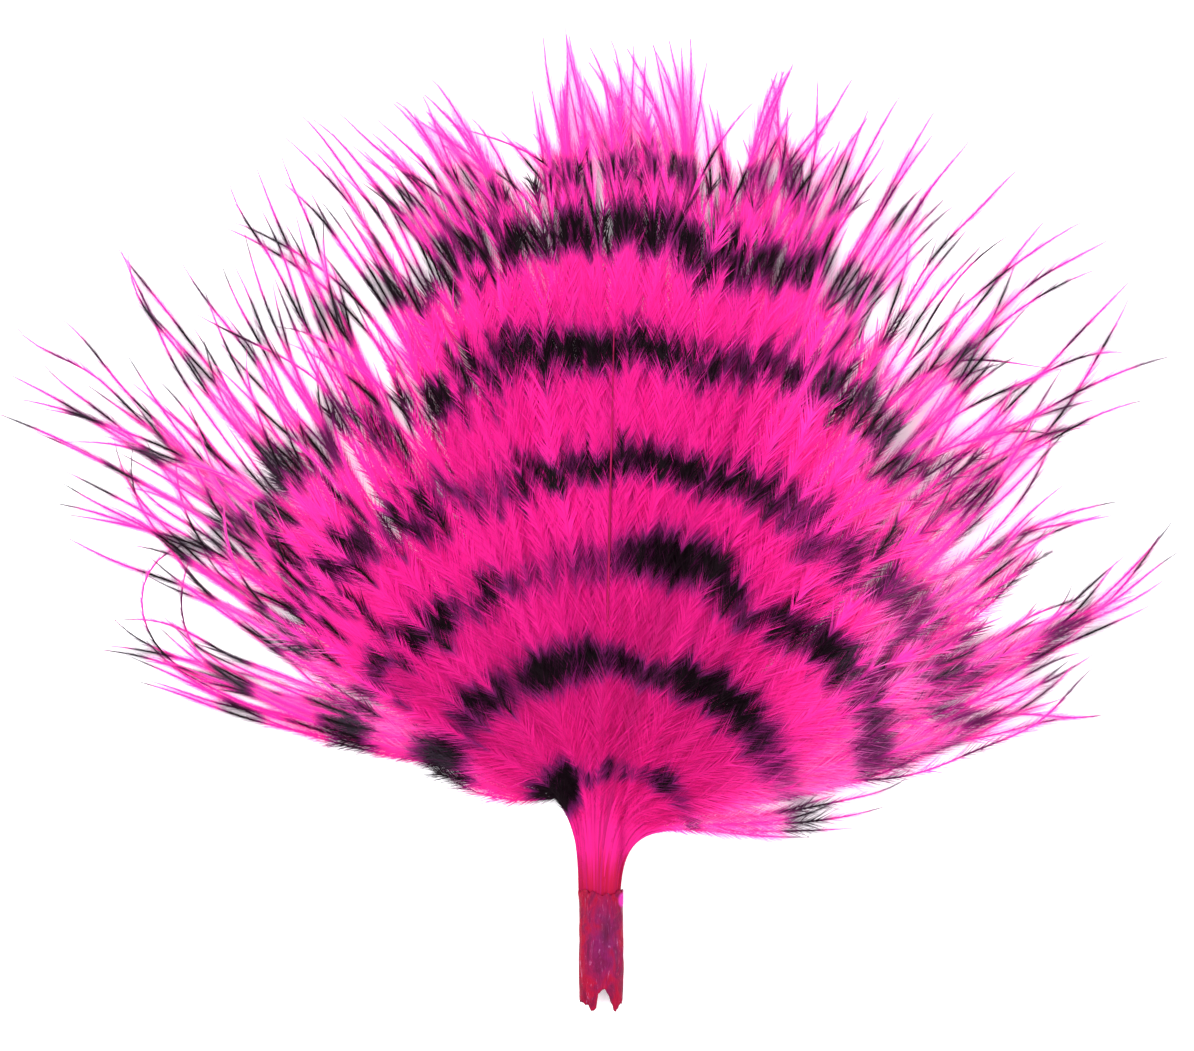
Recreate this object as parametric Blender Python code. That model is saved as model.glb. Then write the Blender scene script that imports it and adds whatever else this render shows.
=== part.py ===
"""A dyed, barred marabou feather lying flat on a surface.

One grown piece: a short quill in its dried sheath, forked where it was cut, the thin
shaft that carries on from it, and the locks of soft barbs that fan out of its neck.
Metres, +Z up. The origin is on the surface, under the neck, where the sheath ends and
the barbs begin. +Y runs up the shaft and +X to the feather's right, seen from above.
"""

import math

import bmesh
import bpy
import numpy as np

MM = 0.001

# The quill in its sheath: distance along +Y, half width and thickness, all in mm.
# It starts beyond the cut end, which the fork trims, and carries on inside the fan.
QUILL_RINGS = (
    (-12.8, 2.05, 2.5), (-11.0, 2.20, 2.9), (-8.0, 2.25, 3.0), (-4.5, 2.25, 3.1),
    (-1.6, 2.22, 3.0), (-0.6, 2.32, 3.2), (-0.3, 2.05, 2.9), (1.5, 2.10, 2.8),
    (3.5, 2.25, 2.9), (5.5, 2.45, 3.2), (7.5, 2.90, 3.6),
)
QUILL_SIDES = 14
QUILL_RISE = 1.15 * MM          # height of its middle line above the surface

# The ragged cut end, from the quill's left edge to its right edge, in mm
CUT_END = (
    (-2.6, -10.9), (-1.9, -11.3), (-0.8, -12.2), (-0.30, -11.7), (-0.25, -10.7),
    (0.15, -10.0), (0.85, -10.7), (1.15, -11.5), (1.65, -12.2), (2.05, -11.5), (2.8, -10.9),
)

# How the barbs leave the neck: straight up at first, then turning round the fan's centre
FAN_CENTRE = np.array((0.0, 5.0)) * MM
NECK_HALF = 2.0 * MM
LEAD_LEFT = -72.0               # bearings in degrees, from +Y round towards +X
LEAD_RIGHT = 97.0
HANDLE_LEFT = 16.0 * MM         # how far the leftmost barbs run up before they turn
HANDLE_RIGHT = 7.5 * MM
LEAD_SHARE = 0.30               # share of the reach over which a barb keeps its lead

# The dense part of the fan, barb by barb: lead bearing, the place its tip makes for, and
# how far along it the down is dense, all in mm
CORE_BARBS = (
    (-72, -50.0, 22.0, 21), (-67, -53.0, 28.0, 28), (-62, -54.0, 34.0, 35),
    (-58, -55.0, 40.0, 42), (-54, -55.0, 45.0, 45), (-50, -54.0, 50.0, 48),
    (-45, -52.0, 55.5, 49), (-40, -48.0, 60.0, 51), (-35, -44.0, 65.0, 52),
    (-29, -39.0, 69.0, 54), (-23, -33.0, 73.0, 55), (-17, -26.0, 77.0, 58),
    (-11, -18.5, 80.0, 59), (-5, -10.0, 82.0, 62), (-1, -3.0, 84.0, 60),
    (2, 2.0, 85.0, 64), (6, 7.5, 85.0, 64), (10, 13.0, 84.0, 61), (14, 18.0, 82.5, 59),
    (19, 24.0, 81.0, 60), (24, 31.0, 78.0, 57), (29, 37.0, 74.5, 55), (34, 42.5, 70.0, 51),
    (39, 47.0, 65.0, 49), (44, 51.0, 60.0, 46), (50, 54.0, 53.0, 45), (56, 56.0, 46.0, 43),
    (62, 57.0, 38.5, 44), (69, 55.0, 30.0, 43), (76, 49.0, 23.0, 38), (83, 38.0, 16.0, 29),
    (90, 31.0, 11.0, 21), (97, 27.7, 7.5, 16),
)
CORE_START = 5.0                # mm along a barb, inside the neck
CORE_RINGS = (0.0, 0.13, 0.29, 0.47, 0.65, 0.83, 1.0)
CORE_EDGE_RISE = 0.9 * MM
CORE_BELOW = 0.5 * MM           # dips below the surface and is trimmed off flat
FLUTE_DEPTH = 0.12              # share of the height between two ridges
NECK_RISE = 2.6 * MM            # top of the neck at its middle
NECK_FALL = 0.9 * MM            # how much lower it is towards its sides
NECK_EDGE_RISE = 1.4 * MM
# Height of the fan's top over the surface by distance from the fan's centre, in mm
TOP_DISTANCES = (0.0, 5.0, 12.0, 22.0, 34.0, 48.0, 60.0, 72.0)
TOP_HEIGHTS = (3.4, 4.0, 5.2, 5.6, 5.0, 3.7, 2.5, 1.4)

# The shaft, which lies along the top of the fan
SHAFT_START = (0.2, 6.0)        # mm
SHAFT_END = (1.2, 56.0)
SHAFT_RADIUS = 0.45 * MM
SHAFT_STATIONS = 9

# Locks that make the fan's outline: lead bearing, the tip's place and the half width in
# mm, and the tip's height in mm above the surface
RIM_LOCKS = (
    (-70, -49.6, 24.1, 2.0, 0.7), (-65, -47.9, 27.1, 1.6, 1.6), (-64, -42.0, 29.0, 1.9, 0.8),
    (-59, -53.7, 40.0, 1.1, 2.4), (-50, -54.5, 38.0, 1.2, 0.9), (-56, -48.2, 44.3, 1.6, 1.8),
    (-47, -60.1, 47.1, 1.2, 1.0), (-36, -58.1, 48.3, 1.0, 2.8), (-38, -58.8, 50.9, 1.2, 1.6),
    (-49, -57.1, 56.8, 1.3, 0.7), (-48, -47.0, 53.1, 2.0, 2.2), (-40, -47.9, 63.8, 1.7, 1.2),
    (-47, -45.5, 57.8, 1.2, 3.0), (-36, -41.5, 62.5, 1.9, 0.8), (-31, -36.3, 70.8, 1.7, 2.0),
    (-20, -36.9, 65.9, 1.2, 3.2), (-36, -35.1, 65.0, 1.8, 1.4), (-22, -34.3, 71.8, 1.3, 2.6),
    (-30, -31.5, 73.0, 1.9, 0.9), (-13, -29.9, 77.0, 1.7, 1.8), (-16, -28.8, 73.5, 2.2, 0.8),
    (-11, -26.3, 77.2, 1.9, 2.6), (-9, -20.9, 78.0, 2.4, 1.2), (-6, -17.6, 80.0, 2.4, 2.2),
    (-4, -11.0, 75.0, 2.2, 1.0), (0, -5.6, 84.8, 2.2, 0.8), (1, -3.3, 85.1, 2.4, 2.0),
    (3, -1.4, 83.6, 2.3, 1.2), (3, 0.6, 84.3, 1.9, 2.8), (5, 2.3, 83.6, 2.0, 1.0),
    (8, 4.9, 84.0, 1.9, 2.0), (9, 6.7, 84.4, 1.9, 1.2), (11, 8.6, 84.6, 1.8, 2.6),
    (7, 15.4, 77.8, 1.0, 3.2), (12, 16.4, 80.6, 1.9, 1.0), (14, 19.2, 82.0, 2.2, 2.0),
    (15, 22.0, 80.5, 2.0, 1.2), (17, 25.4, 80.4, 1.9, 2.6), (19, 26.7, 77.6, 2.2, 0.8),
    (21, 30.0, 78.8, 2.3, 1.8), (23, 33.2, 77.2, 2.2, 1.0), (25, 36.5, 74.6, 1.8, 2.2),
    (24, 41.5, 71.2, 1.1, 3.0), (38, 30.6, 64.5, 1.7, 1.0), (40, 44.1, 66.3, 1.4, 1.8),
    (28, 47.9, 66.0, 1.1, 3.2), (40, 50.4, 64.5, 1.4, 0.9), (46, 52.4, 60.3, 1.4, 2.0),
    (28, 52.1, 52.3, 1.0, 3.4), (42, 56.4, 52.6, 1.4, 1.2), (53, 45.7, 45.1, 2.2, 2.0),
    (51, 46.0, 40.0, 1.9, 0.8), (53, 51.4, 38.1, 1.6, 1.6), (62, 56.4, 36.5, 1.4, 1.0),
    (64, 57.4, 33.1, 1.6, 2.0), (70, 54.4, 28.0, 2.3, 1.2), (74, 48.6, 23.5, 2.6, 0.8),
    (81, 32.4, 14.3, 1.9, 1.4), (96, 27.7, 8.3, 2.0, 0.7), (99, 24.5, 5.8, 1.7, 1.0),
)
# The shorter locks that lie over the fan, in the same terms
OVER_LOCKS = (
    (-66, -31.0, 25.0, 2.4, 2.6), (-57, -40.0, 34.0, 2.6, 2.8), (-48, -38.5, 43.0, 2.8, 3.0),
    (-40, -35.5, 50.5, 2.8, 2.8), (-31, -30.0, 56.5, 2.9, 3.0), (-22, -23.5, 61.5, 2.9, 2.8),
    (-13, -15.5, 66.0, 3.0, 3.0), (-5, -6.5, 69.5, 3.0, 2.8), (3, 3.0, 73.0, 3.1, 3.0),
    (11, 11.5, 70.0, 3.0, 2.8), (19, 20.0, 67.5, 3.0, 3.0), (28, 28.5, 61.0, 2.9, 2.8),
    (37, 35.5, 53.0, 2.9, 3.0), (46, 40.5, 46.0, 2.8, 2.8), (56, 43.0, 37.0, 2.8, 3.0),
    (66, 43.5, 27.5, 2.6, 2.6), (77, 36.5, 18.5, 2.4, 2.4),
    (-52, -24.0, 26.0, 2.3, 4.6), (-30, -19.5, 36.5, 2.4, 5.2), (-9, -7.0, 42.5, 2.5, 5.6),
    (12, 9.0, 43.0, 2.5, 5.6), (34, 23.0, 36.0, 2.4, 5.2), (58, 28.0, 24.0, 2.3, 4.6),
)
LOCK_STATIONS = 9
RIM_START = 0.34                # share of the path where a lock leaves the dense part
OVER_START = 0.24
# Half width of a lock by share of its length, as a share of its greatest half width
LOCK_SHARES = (0.0, 0.25, 0.5, 0.7, 0.85, 1.0)
LOCK_WIDTHS = (0.40, 0.90, 1.0, 0.66, 0.30, 0.10)
RIM_FLATNESS = 0.55             # half thickness over half width
OVER_FLATNESS = 0.72
LOCK_SINK = 0.30 * MM           # how deep an upper lock's middle line lies under the top
RIM_START_RISE = 2.2 * MM
TIP_HALF_WIDTH = 0.22 * MM

DYED_PINK = (0.93, 0.02, 0.28, 1.0)


def bearing_vector(degrees):
    """Unit vector in the plane for a bearing counted from +Y round towards +X."""
    angle = math.radians(degrees)
    return np.array((math.sin(angle), math.cos(angle)))


def barb_path(lead, tip, shares):
    """Plan of a barb's line: a cubic curve that leaves the neck upwards and turns to its lead."""
    turn = (lead - LEAD_LEFT) / (LEAD_RIGHT - LEAD_LEFT)
    start = np.array((NECK_HALF * (2.0 * turn - 1.0), 0.0))
    handle = HANDLE_LEFT + (HANDLE_RIGHT - HANDLE_LEFT) * turn
    first = start + np.array((0.2 * start[0], handle))
    reach = np.linalg.norm(tip - FAN_CENTRE)
    second = FAN_CENTRE + LEAD_SHARE * reach * bearing_vector(lead)
    t = np.asarray(shares)[:, None]
    near = (1.0 - t) ** 3 * start + 3.0 * (1.0 - t) ** 2 * t * first
    return near + 3.0 * (1.0 - t) * t ** 2 * second + t ** 3 * tip


def shares_at(lead, tip, lengths):
    """Shares of the curve at which a barb has run the given lengths, in mm, from the neck."""
    shares = np.linspace(0.0, 1.0, 201)
    steps = np.linalg.norm(np.diff(barb_path(lead, tip, shares), axis=0), axis=1)
    run = np.concatenate([[0.0], np.cumsum(steps)])
    return np.interp(np.asarray(lengths) * MM, run, shares)


def fan_top(plan):
    """Height of the fan's top at plan positions: a low dome that falls off to both sides."""
    away = plan - FAN_CENTRE
    distance = np.linalg.norm(away, axis=1)
    bearing = np.degrees(np.arctan2(away[:, 0], away[:, 1]))
    middle = (LEAD_LEFT + LEAD_RIGHT) / 2.0
    across = np.clip(2.0 * (bearing - middle) / (LEAD_RIGHT - LEAD_LEFT), -1.0, 1.0)
    height = np.interp(distance / MM, TOP_DISTANCES, TOP_HEIGHTS) * MM
    fan = CORE_EDGE_RISE + (height - CORE_EDGE_RISE) * (1.0 - 0.8 * np.abs(across) ** 3)
    aside = np.abs(plan[:, 0]) / NECK_HALF
    neck = np.maximum(NECK_RISE - NECK_FALL * aside ** 2, NECK_EDGE_RISE)
    in_neck = np.clip((9.0 * MM - distance) / (6.0 * MM), 0.0, 1.0)
    in_neck = np.where((plan[:, 1] < FAN_CENTRE[1]) & (aside < 1.3), 1.0, in_neck)
    return fan * (1.0 - in_neck) + neck * in_neck


def new_object(name, mesh_builder):
    """An object whose mesh is what the builder leaves in a bmesh, faces outwards."""
    bm = bmesh.new()
    mesh_builder(bm)
    bmesh.ops.recalc_face_normals(bm, faces=bm.faces)
    mesh = bpy.data.meshes.new(name)
    bm.to_mesh(mesh)
    bm.free()
    obj = bpy.data.objects.new(name, mesh)
    bpy.context.scene.collection.objects.link(obj)
    return obj


def join_rings(bm, rings):
    """A closed skin over rings of equal count, with a flat cap at either end."""
    for near, far in zip(rings, rings[1:]):
        for i in range(len(near)):
            bm.faces.new((near[i], near[i - 1], far[i - 1], far[i]))
    bm.faces.new(rings[0])
    bm.faces.new(rings[-1])


def build_core(bm):
    """The dense part: columns along the barbs, every second one a shallow groove."""
    columns = []
    for number, (lead, x, y, dense) in enumerate(CORE_BARBS):
        tip = np.array((x, y)) * MM
        lengths = CORE_START + (dense - CORE_START) * np.array(CORE_RINGS)
        plan = barb_path(lead, tip, shares_at(lead, tip, lengths))
        rise = fan_top(plan) * (1.0 - FLUTE_DEPTH * (number % 2))
        border = number in (0, len(CORE_BARBS) - 1)
        column = []
        for ring, (spot, height) in enumerate(zip(plan, rise)):
            if border or ring == len(CORE_RINGS) - 1:
                edge = bm.verts.new((*spot, CORE_EDGE_RISE))
                column.append((edge, edge))
            else:
                upper = bm.verts.new((*spot, height))
                column.append((upper, bm.verts.new((*spot, -CORE_BELOW))))
        columns.append(column)
    for number, (left, right) in enumerate(zip(columns, columns[1:])):
        for side in (0, 1):
            for ring in range(len(CORE_RINGS) - 1):
                a, b = left[ring][side], right[ring][side]
                c, d = right[ring + 1][side], left[ring + 1][side]
                # The diagonals lean outwards, so that no triangle has only border corners
                if number < len(columns) // 2:
                    halves = ((a, b, d), (b, c, d))
                else:
                    halves = ((a, b, c), (a, c, d))
                for half in halves:
                    bm.faces.new(half)
        root = (left[0][0], left[0][1], right[0][1], right[0][0])
        bm.faces.new(list(dict.fromkeys(root)))


def build_lock(bm, lock, over):
    """A blade of diamond section along the lock's path, which tapers to a filament."""
    lead, x, y, half_width, tip_rise = lock
    share = np.linspace(0.0, 1.0, LOCK_STATIONS)
    start = OVER_START if over else RIM_START
    plan = barb_path(lead, np.array((x, y)) * MM, start + (1.0 - start) * share)
    if over:
        top = fan_top(plan) - LOCK_SINK
        rise = top + (tip_rise * MM - top) * share ** 4
    else:
        rise = RIM_START_RISE + (tip_rise * MM - RIM_START_RISE) * share ** 1.3
    half = half_width * MM * np.interp(share, LOCK_SHARES, LOCK_WIDTHS)
    half = np.maximum(half, TIP_HALF_WIDTH)
    heading = np.gradient(plan, axis=0)
    heading /= np.linalg.norm(heading, axis=1)[:, None]
    side = np.stack([heading[:, 1], -heading[:, 0]], axis=1)
    thick = half * (OVER_FLATNESS if over else RIM_FLATNESS)
    rings = []
    for spot, z, aside, h, t in zip(plan, rise, side, half, thick):
        z = max(z, t * 0.9)
        corners = ((spot + aside * h, z), (spot, z + t), (spot - aside * h, z), (spot, z - t))
        rings.append([bm.verts.new((*place, height)) for place, height in corners])
    join_rings(bm, rings)


def build_quill(bm):
    """A flattened tube: even along the sheath, a small step at its rim, then the neck."""
    rings = []
    for y, half_width, thickness in QUILL_RINGS:
        ring = []
        for i in range(QUILL_SIDES):
            turn = 2.0 * math.pi * i / QUILL_SIDES
            x = half_width * MM * math.cos(turn)
            z = QUILL_RISE + thickness * MM / 2.0 * math.sin(turn)
            ring.append(bm.verts.new((x, y * MM, z)))
        rings.append(ring)
    join_rings(bm, rings)


def build_cut_end(bm):
    """What the ragged cut takes off the quill's end, leaving two prongs."""
    outline = CUT_END + ((2.8, -14.0), (-2.6, -14.0))
    floor = bm.faces.new([bm.verts.new((x * MM, y * MM, -4.0 * MM)) for x, y in outline])
    raised = bmesh.ops.extrude_face_region(bm, geom=[floor])["geom"]
    lifted = [v for v in raised if isinstance(v, bmesh.types.BMVert)]
    bmesh.ops.translate(bm, verts=lifted, vec=(0.0, 0.0, 12.0 * MM))


def build_shaft(bm):
    """The shaft: a thin tapering rod half sunk in the top of the fan."""
    share = np.linspace(0.0, 1.0, SHAFT_STATIONS)
    line = np.outer(1.0 - share, SHAFT_START) + np.outer(share, SHAFT_END)
    plan = line * MM
    rise = fan_top(plan)
    rings = []
    for spot, z, s in zip(plan, rise, share):
        radius = SHAFT_RADIUS * (1.0 - 0.6 * s)
        ring = []
        for k in range(6):
            turn = math.pi * k / 3.0
            x = spot[0] + radius * math.cos(turn)
            ring.append(bm.verts.new((x, spot[1], z + radius * math.sin(turn))))
        rings.append(ring)
    join_rings(bm, rings)


def build_ground(bm):
    """The space below the surface that the feather lies on."""
    bmesh.ops.create_cube(bm, size=1.0)
    bmesh.ops.scale(bm, vec=(0.3, 0.3, 0.02), verts=bm.verts)
    bmesh.ops.translate(bm, vec=(0.0, 0.03, -0.01), verts=bm.verts)


def as_guide(obj, collection):
    """Hides a shape that only joins or cuts another, and keeps it in its own collection."""
    bpy.context.scene.collection.objects.unlink(obj)
    collection.objects.link(obj)
    obj.hide_render = True
    obj.display_type = "WIRE"


def dyed_material():
    material = bpy.data.materials.new("dyed_barbs")
    material.use_nodes = True
    shader = material.node_tree.nodes["Principled BSDF"]
    shader.inputs["Base Color"].default_value = DYED_PINK
    shader.inputs["Roughness"].default_value = 0.7
    shader.inputs["Metallic"].default_value = 0.0
    return material


def cut_or_join(feather, name, operation, guides):
    modifier = feather.modifiers.new(name, "BOOLEAN")
    modifier.operation = operation
    modifier.operand_type = "COLLECTION"
    modifier.collection = guides


def main():
    for obj in list(bpy.data.objects):
        bpy.data.objects.remove(obj)
    joined = bpy.data.collections.new("joined_shapes")
    cut = bpy.data.collections.new("cut_shapes")
    for collection in (joined, cut):
        bpy.context.scene.collection.children.link(collection)

    feather = new_object("feather", build_core)
    as_guide(new_object("quill_shape", build_quill), joined)
    as_guide(new_object("shaft_shape", build_shaft), joined)
    for number, lock in enumerate(RIM_LOCKS):
        shape = new_object(f"rim_lock_{number}", lambda bm: build_lock(bm, lock, False))
        as_guide(shape, joined)
    for number, lock in enumerate(OVER_LOCKS):
        shape = new_object(f"over_lock_{number}", lambda bm: build_lock(bm, lock, True))
        as_guide(shape, joined)
    as_guide(new_object("cut_end_shape", build_cut_end), cut)
    as_guide(new_object("ground_shape", build_ground), cut)

    cut_or_join(feather, "Join locks and quill", "UNION", joined)
    cut_or_join(feather, "Trim the end and the underside", "DIFFERENCE", cut)
    feather.data.materials.append(dyed_material())


main()
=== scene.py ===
# %% [markdown]
# # A dyed marabou feather
#
# Marabou is the soft down of a turkey. This plume is short: a stub of quill, still in its
# dried sheath, and a fan of barbs that all leave the quill at its neck. It was dyed hot
# pink and barred with black. Each barb is a thin flat stem with hair-fine barbules down
# both its sides, and in its last stretch they cling to it, so that it looks bare.
#
# The solid made before this script is the feather's envelope. Here the same space is
# filled with the barbs themselves, each one a curve in space that carries its barbules.

# %% The fixed frame
import math

import bmesh
import bpy
import numpy as np
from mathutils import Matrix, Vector


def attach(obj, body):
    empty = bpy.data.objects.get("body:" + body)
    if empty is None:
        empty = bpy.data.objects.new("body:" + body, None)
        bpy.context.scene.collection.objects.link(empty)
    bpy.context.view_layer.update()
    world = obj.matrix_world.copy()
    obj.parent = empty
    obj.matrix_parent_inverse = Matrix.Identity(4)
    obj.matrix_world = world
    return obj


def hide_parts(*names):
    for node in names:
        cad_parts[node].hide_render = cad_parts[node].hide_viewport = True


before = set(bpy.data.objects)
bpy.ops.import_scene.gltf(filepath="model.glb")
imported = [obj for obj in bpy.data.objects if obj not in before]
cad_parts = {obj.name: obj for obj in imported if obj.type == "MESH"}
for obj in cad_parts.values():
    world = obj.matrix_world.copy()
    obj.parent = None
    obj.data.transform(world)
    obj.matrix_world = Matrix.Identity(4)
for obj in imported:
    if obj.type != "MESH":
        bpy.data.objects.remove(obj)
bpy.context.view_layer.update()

MM = 0.001
draw = np.random.default_rng(11)

# %% [markdown]
# ## How a barb runs
#
# A barb leaves the neck straight up, side by side with all the others, then turns away to
# its own bearing, like water leaving a fountain. A quartic curve, which has five points,
# does exactly that: its second point lies straight above the first, its third on the
# barb's lead bearing, and its fourth straight behind the tip. Only the lead, the tip, the
# heading at the tip and the height differ from barb to barb.

# %% The law of the barbs
FAN_CENTRE = np.array((0.0, 5.0)) * MM
NECK_HALF_WIDTH = 1.90 * MM
NECK_MIDDLE = -0.15 * MM
LEAD_LEFT, LEAD_RIGHT = -64.0, 92.0      # degrees, from +Y round towards +X
HANDLE_LEFT, HANDLE_RIGHT = 18.0 * MM, 10.5 * MM
LEAD_SHARE, LEAD_SHARE_LEFT = 0.30, 0.10 # the leftmost barbs turn sharply out of the neck
SHARP_UNTIL = -42.0        # degrees of lead
TIP_SHARE = 0.30
HANDLE_LEAN = 0.2          # share of its place across the neck by which a handle leans out
NECK_FOOT = -0.9 * MM                    # the barbs start just inside the sheath


def bearing_vector(degrees):
    """(sine, cosine) of each bearing: 0 points along +Y and 90 along +X."""
    angle = np.radians(degrees)
    return np.stack([np.sin(angle), np.cos(angle)], axis=-1)


def bearing_of(away):
    """Bearing of each vector in degrees: the angle whose tangent is x / y."""
    return np.degrees(np.arctan2(away[..., 0], away[..., 1]))


def unit(vectors):
    """The same directions with length 1: each vector divided by its length."""
    return vectors / np.linalg.norm(vectors, axis=-1, keepdims=True)


def barb_plan(leads, tips, headings, shares):
    """Quartic curves, one row per barb: the sum of five points weighted by
    (1-t)^4, 4(1-t)^3 t, 6(1-t)^2 t^2, 4(1-t)t^3 and t^4. They are the foot in the neck, a
    handle's length above it, a share of the reach along the lead bearing, a share of the
    reach back from the tip along its heading, and the tip."""
    turn = np.clip((leads - LEAD_LEFT) / (LEAD_RIGHT - LEAD_LEFT), 0.0, 1.0)
    across = NECK_MIDDLE + NECK_HALF_WIDTH * (2 * turn - 1)
    foot = np.stack([across, np.full_like(turn, NECK_FOOT)], axis=-1)
    handle = HANDLE_LEFT + (HANDLE_RIGHT - HANDLE_LEFT) * turn
    above = foot + np.stack([HANDLE_LEAN * foot[:, 0], handle], axis=-1)
    reach = np.linalg.norm(tips - FAN_CENTRE, axis=-1)[:, None]
    lead_share = np.interp(leads, (LEAD_LEFT, SHARP_UNTIL), (LEAD_SHARE_LEFT, LEAD_SHARE))[:, None]
    led = FAN_CENTRE + lead_share * reach * bearing_vector(leads)
    last = tips - TIP_SHARE * reach * bearing_vector(headings)
    t = shares[None, :, None]
    near = (1 - t) ** 4 * foot[:, None] + 4 * (1 - t) ** 3 * t * above[:, None]
    middle = 6 * (1 - t) ** 2 * t ** 2 * led[:, None]
    return near + middle + 4 * (1 - t) * t ** 3 * last[:, None] + t ** 4 * tips[:, None]


# %% [markdown]
# ## The height of the down
#
# Seen from the side the feather is a low heap: as thick as the quill at the neck, thickest
# a quarter of the way up the fan, and thin at the tips. Every barb has a layer from 0 at
# the bottom to 1 at the top, and rides at that share of the heap's height.

# %% The heap and its layers
HEAP_DISTANCES = np.array((0.0, 5.0, 12.0, 22.0, 34.0, 48.0, 60.0, 72.0, 90.0)) * MM
HEAP_HEIGHTS = np.array((3.4, 4.0, 5.4, 6.0, 5.4, 4.2, 3.2, 2.6, 2.2)) * MM
NECK_HEIGHT = 2.7 * MM
NECK_ARCH = 0.88           # how far round its arch the neck's top goes, and
NECK_EDGE = 0.15           # the share of the height that is left at its edges, squared
ARCH_UNTIL, NECK_UNTIL = 1.2, 1.4        # half widths of the neck to either side
NECK_ENDS, NECK_BLENDS = 9.0 * MM, 6.0 * MM
LIFT_OFF_GROUND = 0.25 * MM
SIDES_LOWER = 0.55         # share of its height that the heap loses towards its sides


def heap_height(plan):
    """Height of the heap: by distance from the fan's centre, less the cube of the way to
    either side, and eased into a flat arch across the neck, the root of 1 - x^4."""
    away = plan - FAN_CENTRE
    distance = np.linalg.norm(away, axis=-1)
    bearing = bearing_of(away)
    middle = (LEAD_LEFT + LEAD_RIGHT) / 2
    across = np.clip(2 * (bearing - middle) / (LEAD_RIGHT - LEAD_LEFT), -1, 1)
    fan = np.interp(distance, HEAP_DISTANCES, HEAP_HEIGHTS) * (1 - SIDES_LOWER * np.abs(across) ** 3)
    aside = np.abs(plan[..., 0]) / NECK_HALF_WIDTH
    arch = 1 - (NECK_ARCH * np.minimum(aside, ARCH_UNTIL)) ** 4
    neck = NECK_HEIGHT * np.sqrt(np.clip(arch, NECK_EDGE, 1))
    in_neck = np.clip((NECK_ENDS - distance) / NECK_BLENDS, 0, 1)
    in_neck = np.where((plan[..., 1] < FAN_CENTRE[1]) & (aside < NECK_UNTIL), 1.0, in_neck)
    return fan * (1 - in_neck) + neck * in_neck


def smooth_noise(at, period, seed):
    """Values from -1 to 1 that drift evenly: random numbers a period apart, joined by lines."""
    knots = np.random.default_rng(seed).uniform(-1, 1, 400)
    return np.interp(np.asarray(at) / period + 200, np.arange(400), knots)
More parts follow.
